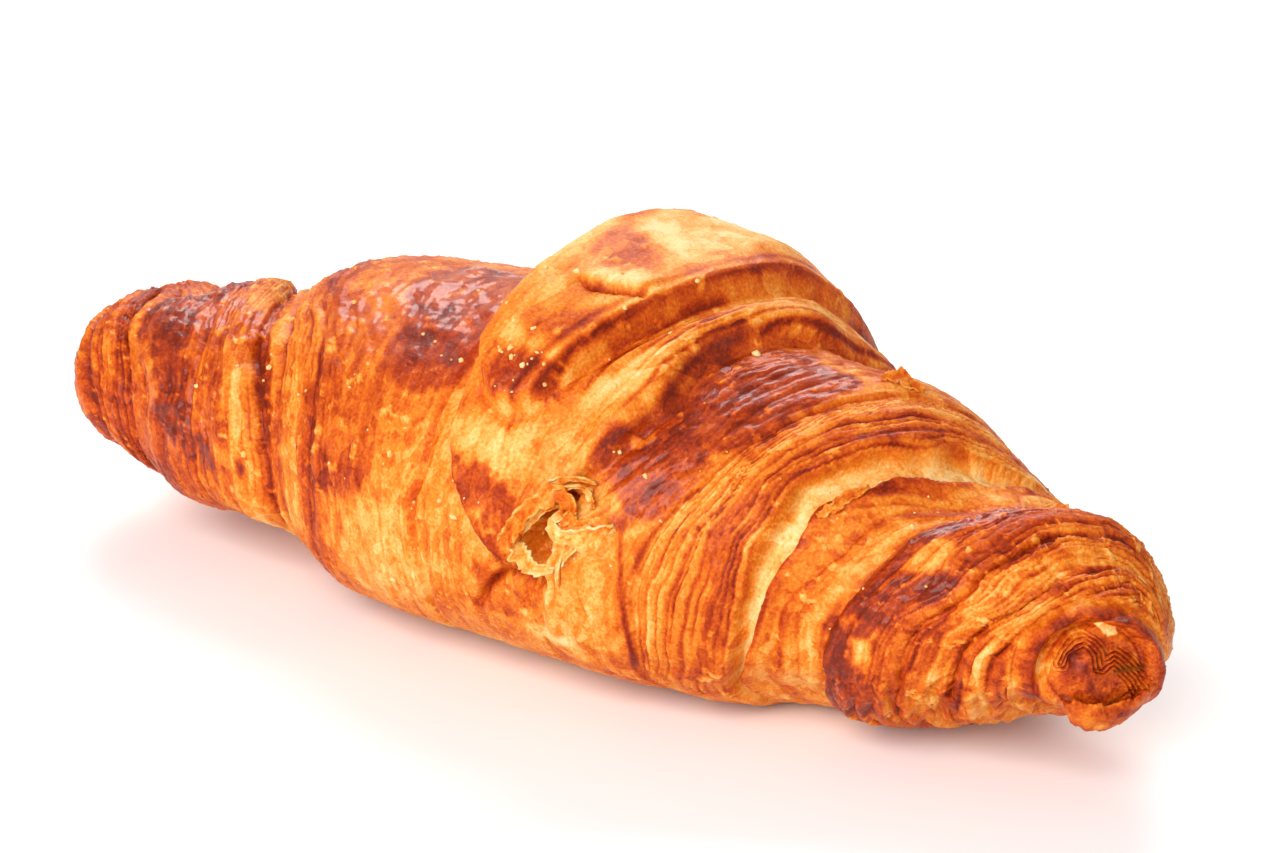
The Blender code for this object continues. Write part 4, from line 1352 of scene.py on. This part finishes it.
def make_floor(colour):
    """White paper: pale, matt and plain, so that the crust is all there is to look at."""
    corners = np.array([(-1.0, -1.0, 0.0), (1.0, -1.0, 0.0), (1.0, 1.0, 0.0), (-1.0, 1.0, 0.0)])
    floor = make_mesh_object("floor", FLOOR_REACH * corners, [(0, 1, 2, 3)], smooth=False)
    paper = bpy.data.materials.new("white_paper")
    paper.use_nodes = True
    shader = paper.node_tree.nodes["Principled BSDF"]
    shader.inputs["Base Color"].default_value = (*colour, 1.0)
    shader.inputs["Roughness"].default_value = 0.7
    floor.data.materials.append(paper)


def make_room(brightness):
    """An even white room, which fills the shadows."""
    world = bpy.data.worlds.new("white_room")
    world.use_nodes = True
    background = world.node_tree.nodes["Background"]
    background.inputs["Color"].default_value = (1.0, 1.0, 1.0, 1.0)
    background.inputs["Strength"].default_value = brightness
    bpy.context.scene.world = world


def add_soft_box(name, location, size, power):
    """A soft box that looks at the middle of the croissant."""
    light = bpy.data.lights.new(name, "AREA")
    light.shape = "RECTANGLE"
    light.size, light.size_y = size
    light.energy = power
    lamp = bpy.data.objects.new(name, light)
    lamp.location = location
    looking = Vector(SOFT_BOX_TARGET) - Vector(location)
    lamp.rotation_euler = looking.to_track_quat("-Z", "Y").to_euler()
    bpy.context.scene.collection.objects.link(lamp)


def make_camera():
    """The scene's camera, slid sideways and up to frame the croissant."""
    back = Vector(compass(CAMERA_AZIMUTH, CAMERA_ELEVATION))
    right = Vector(compass(CAMERA_AZIMUTH + 90.0))
    up = back.cross(right)
    camera = bpy.data.objects.new("camera", bpy.data.cameras.new("camera"))
    camera.data.lens = CAMERA_LENS
    camera.data.sensor_width = 36.0
    camera.location = MM * (Vector(CAMERA_AIM) + CAMERA_DISTANCE * back
                            + CAMERA_SLIDE[0] * right + CAMERA_SLIDE[1] * up)
    camera.rotation_euler = (-back).to_track_quat("-Z", "Y").to_euler()
    camera.data.clip_start, camera.data.clip_end = 0.01, 10.0
    bpy.context.scene.collection.objects.link(camera)
    bpy.context.scene.camera = camera


class CROISSANT_OT_stage(bpy.types.Operator):
    """Builds the floor, the soft light and the camera"""
    bl_idname = "croissant.stage"
    bl_label = "Make stage"

    def execute(self, context):
        stage = context.scene.croissant_stage
        make_floor(stage.floor)
        make_room(stage.sky)
        add_soft_box("key", *KEY_BOX, stage.key_power)
        add_soft_box("fill", *FILL_BOX, stage.fill_power)
        make_camera()
        context.scene.view_settings.view_transform = "Standard"
        return {"FINISHED"}


class CROISSANT_PT_panel(bpy.types.Panel):
    """Lists the croissant's settings and the operators that make its pieces"""
    bl_idname = "CROISSANT_PT_panel"
    bl_label = "Butter croissant"
    bl_space_type = "VIEW_3D"
    bl_region_type = "UI"
    bl_category = "Croissant"

    def draw(self, context):
        scene = context.scene
        for group in (scene.croissant_shape, scene.croissant_colours, scene.croissant_stage):
            box = self.layout.box()
            for key in group.bl_rna.properties.keys():
                if key not in ("rna_type", "name"):
                    box.prop(group, key)
        for step in STEPS:
            self.layout.operator(step.bl_idname)


STEPS = (CROISSANT_OT_crust, CROISSANT_OT_torn_layers, CROISSANT_OT_loose_flakes,
         CROISSANT_OT_tip_flap, CROISSANT_OT_crumbs, CROISSANT_OT_stage)
GROUPS = {"croissant_shape": CroissantShape, "croissant_colours": CroissantColours,
          "croissant_stage": CroissantStage}


def register():
    for item in (*GROUPS.values(), *STEPS, CROISSANT_PT_panel):
        bpy.utils.register_class(item)
    for key, group in GROUPS.items():
        setattr(bpy.types.Scene, key, bpy.props.PointerProperty(type=group))


def unregister():
    for key in GROUPS:
        delattr(bpy.types.Scene, key)
    for item in (CROISSANT_PT_panel, *reversed(STEPS), *reversed(list(GROUPS.values()))):
        bpy.utils.unregister_class(item)


def main():
    register()
    bpy.ops.croissant.crust()
    bpy.ops.croissant.torn_layers()
    bpy.ops.croissant.loose_flakes()
    bpy.ops.croissant.tip_flap()
    bpy.ops.croissant.crumbs()
    bpy.ops.croissant.stage()


if __name__ == "__main__":
    main()
